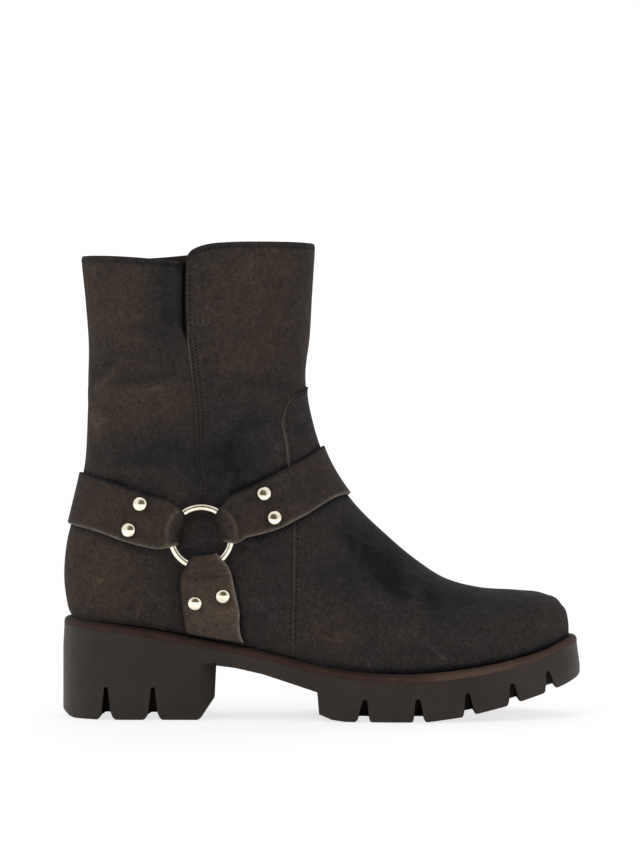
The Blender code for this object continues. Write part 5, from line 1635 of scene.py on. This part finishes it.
def napGroup():
    # soft clouds shift the tone between grey and brown, grit and short scratches change its strength, and
    # a fine nap gives height
    if "leatherNap" in bpy.data.node_groups:
        return bpy.data.node_groups["leatherNap"]
    group = bpy.data.node_groups.new("leatherNap", "ShaderNodeTree")
    group.interface.new_socket("Vector", in_out="INPUT", socket_type="NodeSocketVector")
    for way, names in (("INPUT", ("Tone", "Mottle")), ("OUTPUT", ("Shade", "Wear", "Height", "Gloss"))):
        for name in names:
            group.interface.new_socket(name, in_out=way, socket_type="NodeSocketFloat")
    given = addNode(group, "NodeGroupInput").outputs
    place = given["Vector"]
    mottle = maths(group, "MULTIPLY", noiseSum(group, place, nap["mottle"], 0.5), given["Mottle"])
    shade = maths(group, "ADD", maths(group, "MULTIPLY", given["Tone"], nap["toneShare"]), mottle)
    wear = noiseSum(group, place, nap["grit"], 0.5)
    for turn in nap["scratchTurns"]:
        drawn = addNode(group, "ShaderNodeMapping", vector_type="TEXTURE", Vector=place,
                        Rotation=(0.0, turn, 0.0), Scale=nap["scratchScale"]).outputs["Vector"]
        line, where = noiseAt(group, drawn, *nap["scratchLine"]), noiseAt(group, drawn, *nap["scratchWhere"])
        scratch = maths(group, "SUBTRACT", maths(group, "MULTIPLY", line, where), nap["scratchLeast"])
        scratch = maths(group, "MULTIPLY", maths(group, "MAXIMUM", scratch, 0.0), nap["scratchShare"])
        wear = maths(group, "ADD", wear, scratch)
    wear = maths(group, "ADD", maths(group, "MULTIPLY", wear, given["Mottle"]), 1.0)
    addNode(group, "NodeGroupOutput", Shade=maths(group, "ADD", shade, 0.5),
            Wear=maths(group, "MAXIMUM", wear, nap["wearLeast"]),
            Height=noiseSum(group, place, nap["height"], 0.0),
            Gloss=maths(group, "SUBTRACT", nap["rough"], noiseSum(group, place, nap["gloss"], 0.0)))
    return group


def nubuck(name, look):
    # the nap's shade picks a colour, its wear the strength, and cut edges are bare
    if name in bpy.data.materials:
        return bpy.data.materials[name]
    finish, tree, shader = newFinish(name)
    place = ownPlace(tree)
    hide = addNode(tree, "ShaderNodeGroup", node_tree=napGroup())
    feed(tree, hide, Vector=place, Tone=fieldOf(tree, "tone"), Mottle=look["mottle"])
    strength = addNode(tree, "ShaderNodeVectorMath", operation="SCALE", Scale=hide.outputs["Wear"],
                       Vector=rampOf(tree, hide.outputs["Shade"], look["stops"]))
    worn = maths(tree, "MULTIPLY", fieldOf(tree, "edge"), noiseAt(tree, place, *nap["edgeNoise"]))
    colour = mixColour(tree, worn, strength.outputs["Vector"], look["cut"])
    feed(tree, shader, Base_Color=colour, Roughness=hide.outputs["Gloss"], Specular_IOR_Level=nap["specular"])
    bumpOf(tree, shader, hide.outputs["Height"], look["bump"], nap["bumpDistance"])
    return finish


# Other finishes: noises as above, roughness before its uneven part, strength and distance of the bump
hideLook = {
    "cloud": (60.0, 5.0, 0.6),
    "uneven": ((0.2, 140.0, 4.0),),
    "specular": 0.08,
    "metallic": 0.0,
}
liningLook = {
    **hideLook,
    "stops": ((0.3, (0.012, 0.0100, 0.0088)), (0.7, (0.021, 0.0175, 0.0150))),
    "rough": 0.65,
    "grain": (900.0, 4.0, 0.65),
    "bump": (0.25, 0.0004),
}
insoleLook = {
    **hideLook,
    "stops": ((0.3, (0.105, 0.070, 0.045)), (0.7, (0.150, 0.104, 0.068))),
    "rough": 0.60,
    "grain": (1100.0, 4.0, 0.65),
    "bump": (0.20, 0.0004),
}
threadLook = {**hideLook, "rough": 0.70, "grain": (3000.0, 4.0, 0.65), "bump": (0.30, 0.0004)}
weltLook = {
    "cloud": (160.0, 5.0, 0.65),
    "stops": ((0.3, (0.0165, 0.0086, 0.0070)), (0.7, (0.0330, 0.0164, 0.0130))),
    "pale": (1.25, (0.072, 0.046, 0.034)),   # painted highlight, by the clouds, where the piece's tone says so
    "dark": (0.0125, 0.0072, 0.0056),        # painted shade, where its shade says so
    "rough": 0.65,
    "specular": 0.10,
    "metallic": 0.0,
    "grain": (700.0, 4.0, 0.65),
    "bump": (0.15, 0.0004),
}
rubberLook = {
    "cloud": (45.0, 5.0, 0.6),
    "stops": ((0.3, (0.0172, 0.0132, 0.0108)), (0.7, (0.0240, 0.0186, 0.0154))),
    # painted shade inside the grooves and slots, where the piece's shade field says so
    "dark": (0.0080, 0.0046, 0.0032),
    "rough": 0.48,
    "uneven": ((0.2, 200.0, 4.0),),
    "specular": 0.16,
    "metallic": 0.0,
    "grain": (1500.0, 4.0, 0.65),
    "bump": (0.12, 0.0004),
}
nickelLook = {
    "cloud": (260.0, 4.0, 0.6),
    "uneven": ((0.08, 260.0, 4.0, 0.6),),
    "specular": 0.5,
    "metallic": 1.0,
    "grain": (900.0, 2.0),
    "bump": (0.02, 0.0002),
}
ringLook = {**nickelLook, "stops": ((0.25, (0.52, 0.47, 0.36)), (0.6, (0.78, 0.74, 0.62))), "rough": 0.13}
rivetLook = {**nickelLook, "stops": ((0.25, (0.58, 0.52, 0.37)), (0.6, (0.83, 0.79, 0.66))), "rough": 0.11}


def plainFinish(name, look):
    # clouds of colour, with a painted highlight and painted shade from the piece's own fields, with uneven
    # gloss and a fine grain
    finish, tree, shader = newFinish(name)
    place, rough = ownPlace(tree), look["rough"]
    cloud = noiseAt(tree, place, *look["cloud"])
    colour = rampOf(tree, cloud, look["stops"])
    if "pale" in look:
        share, pale = look["pale"]
        # painted highlight where the tone field and the clouds say so
        bare = maths(tree, "MULTIPLY", maths(tree, "MULTIPLY", fieldOf(tree, "tone"), cloud), share)
        colour = mixColour(tree, bare, colour, pale)
    if "dark" in look:
        # painted shade where the shade field says so
        colour = mixColour(tree, fieldOf(tree, "shade"), colour, look["dark"])
    if "uneven" in look:
        rough = maths(tree, "ADD", noiseSum(tree, place, look["uneven"], 0.0), rough)
    feed(tree, shader, Base_Color=colour, Roughness=rough, Specular_IOR_Level=look["specular"],
         Metallic=look["metallic"])
    bumpOf(tree, shader, noiseAt(tree, place, *look["grain"]), *look["bump"])
    return finish


def thread(name, tint):
    return plainFinish(name, {**threadLook, "stops": stitching[tint]})


setStudio()
makeUpper()
makeStraps()
makeRing()
makeRivets()
makeOutsole()
makeWelt()
makeInsole()
makeStitches()
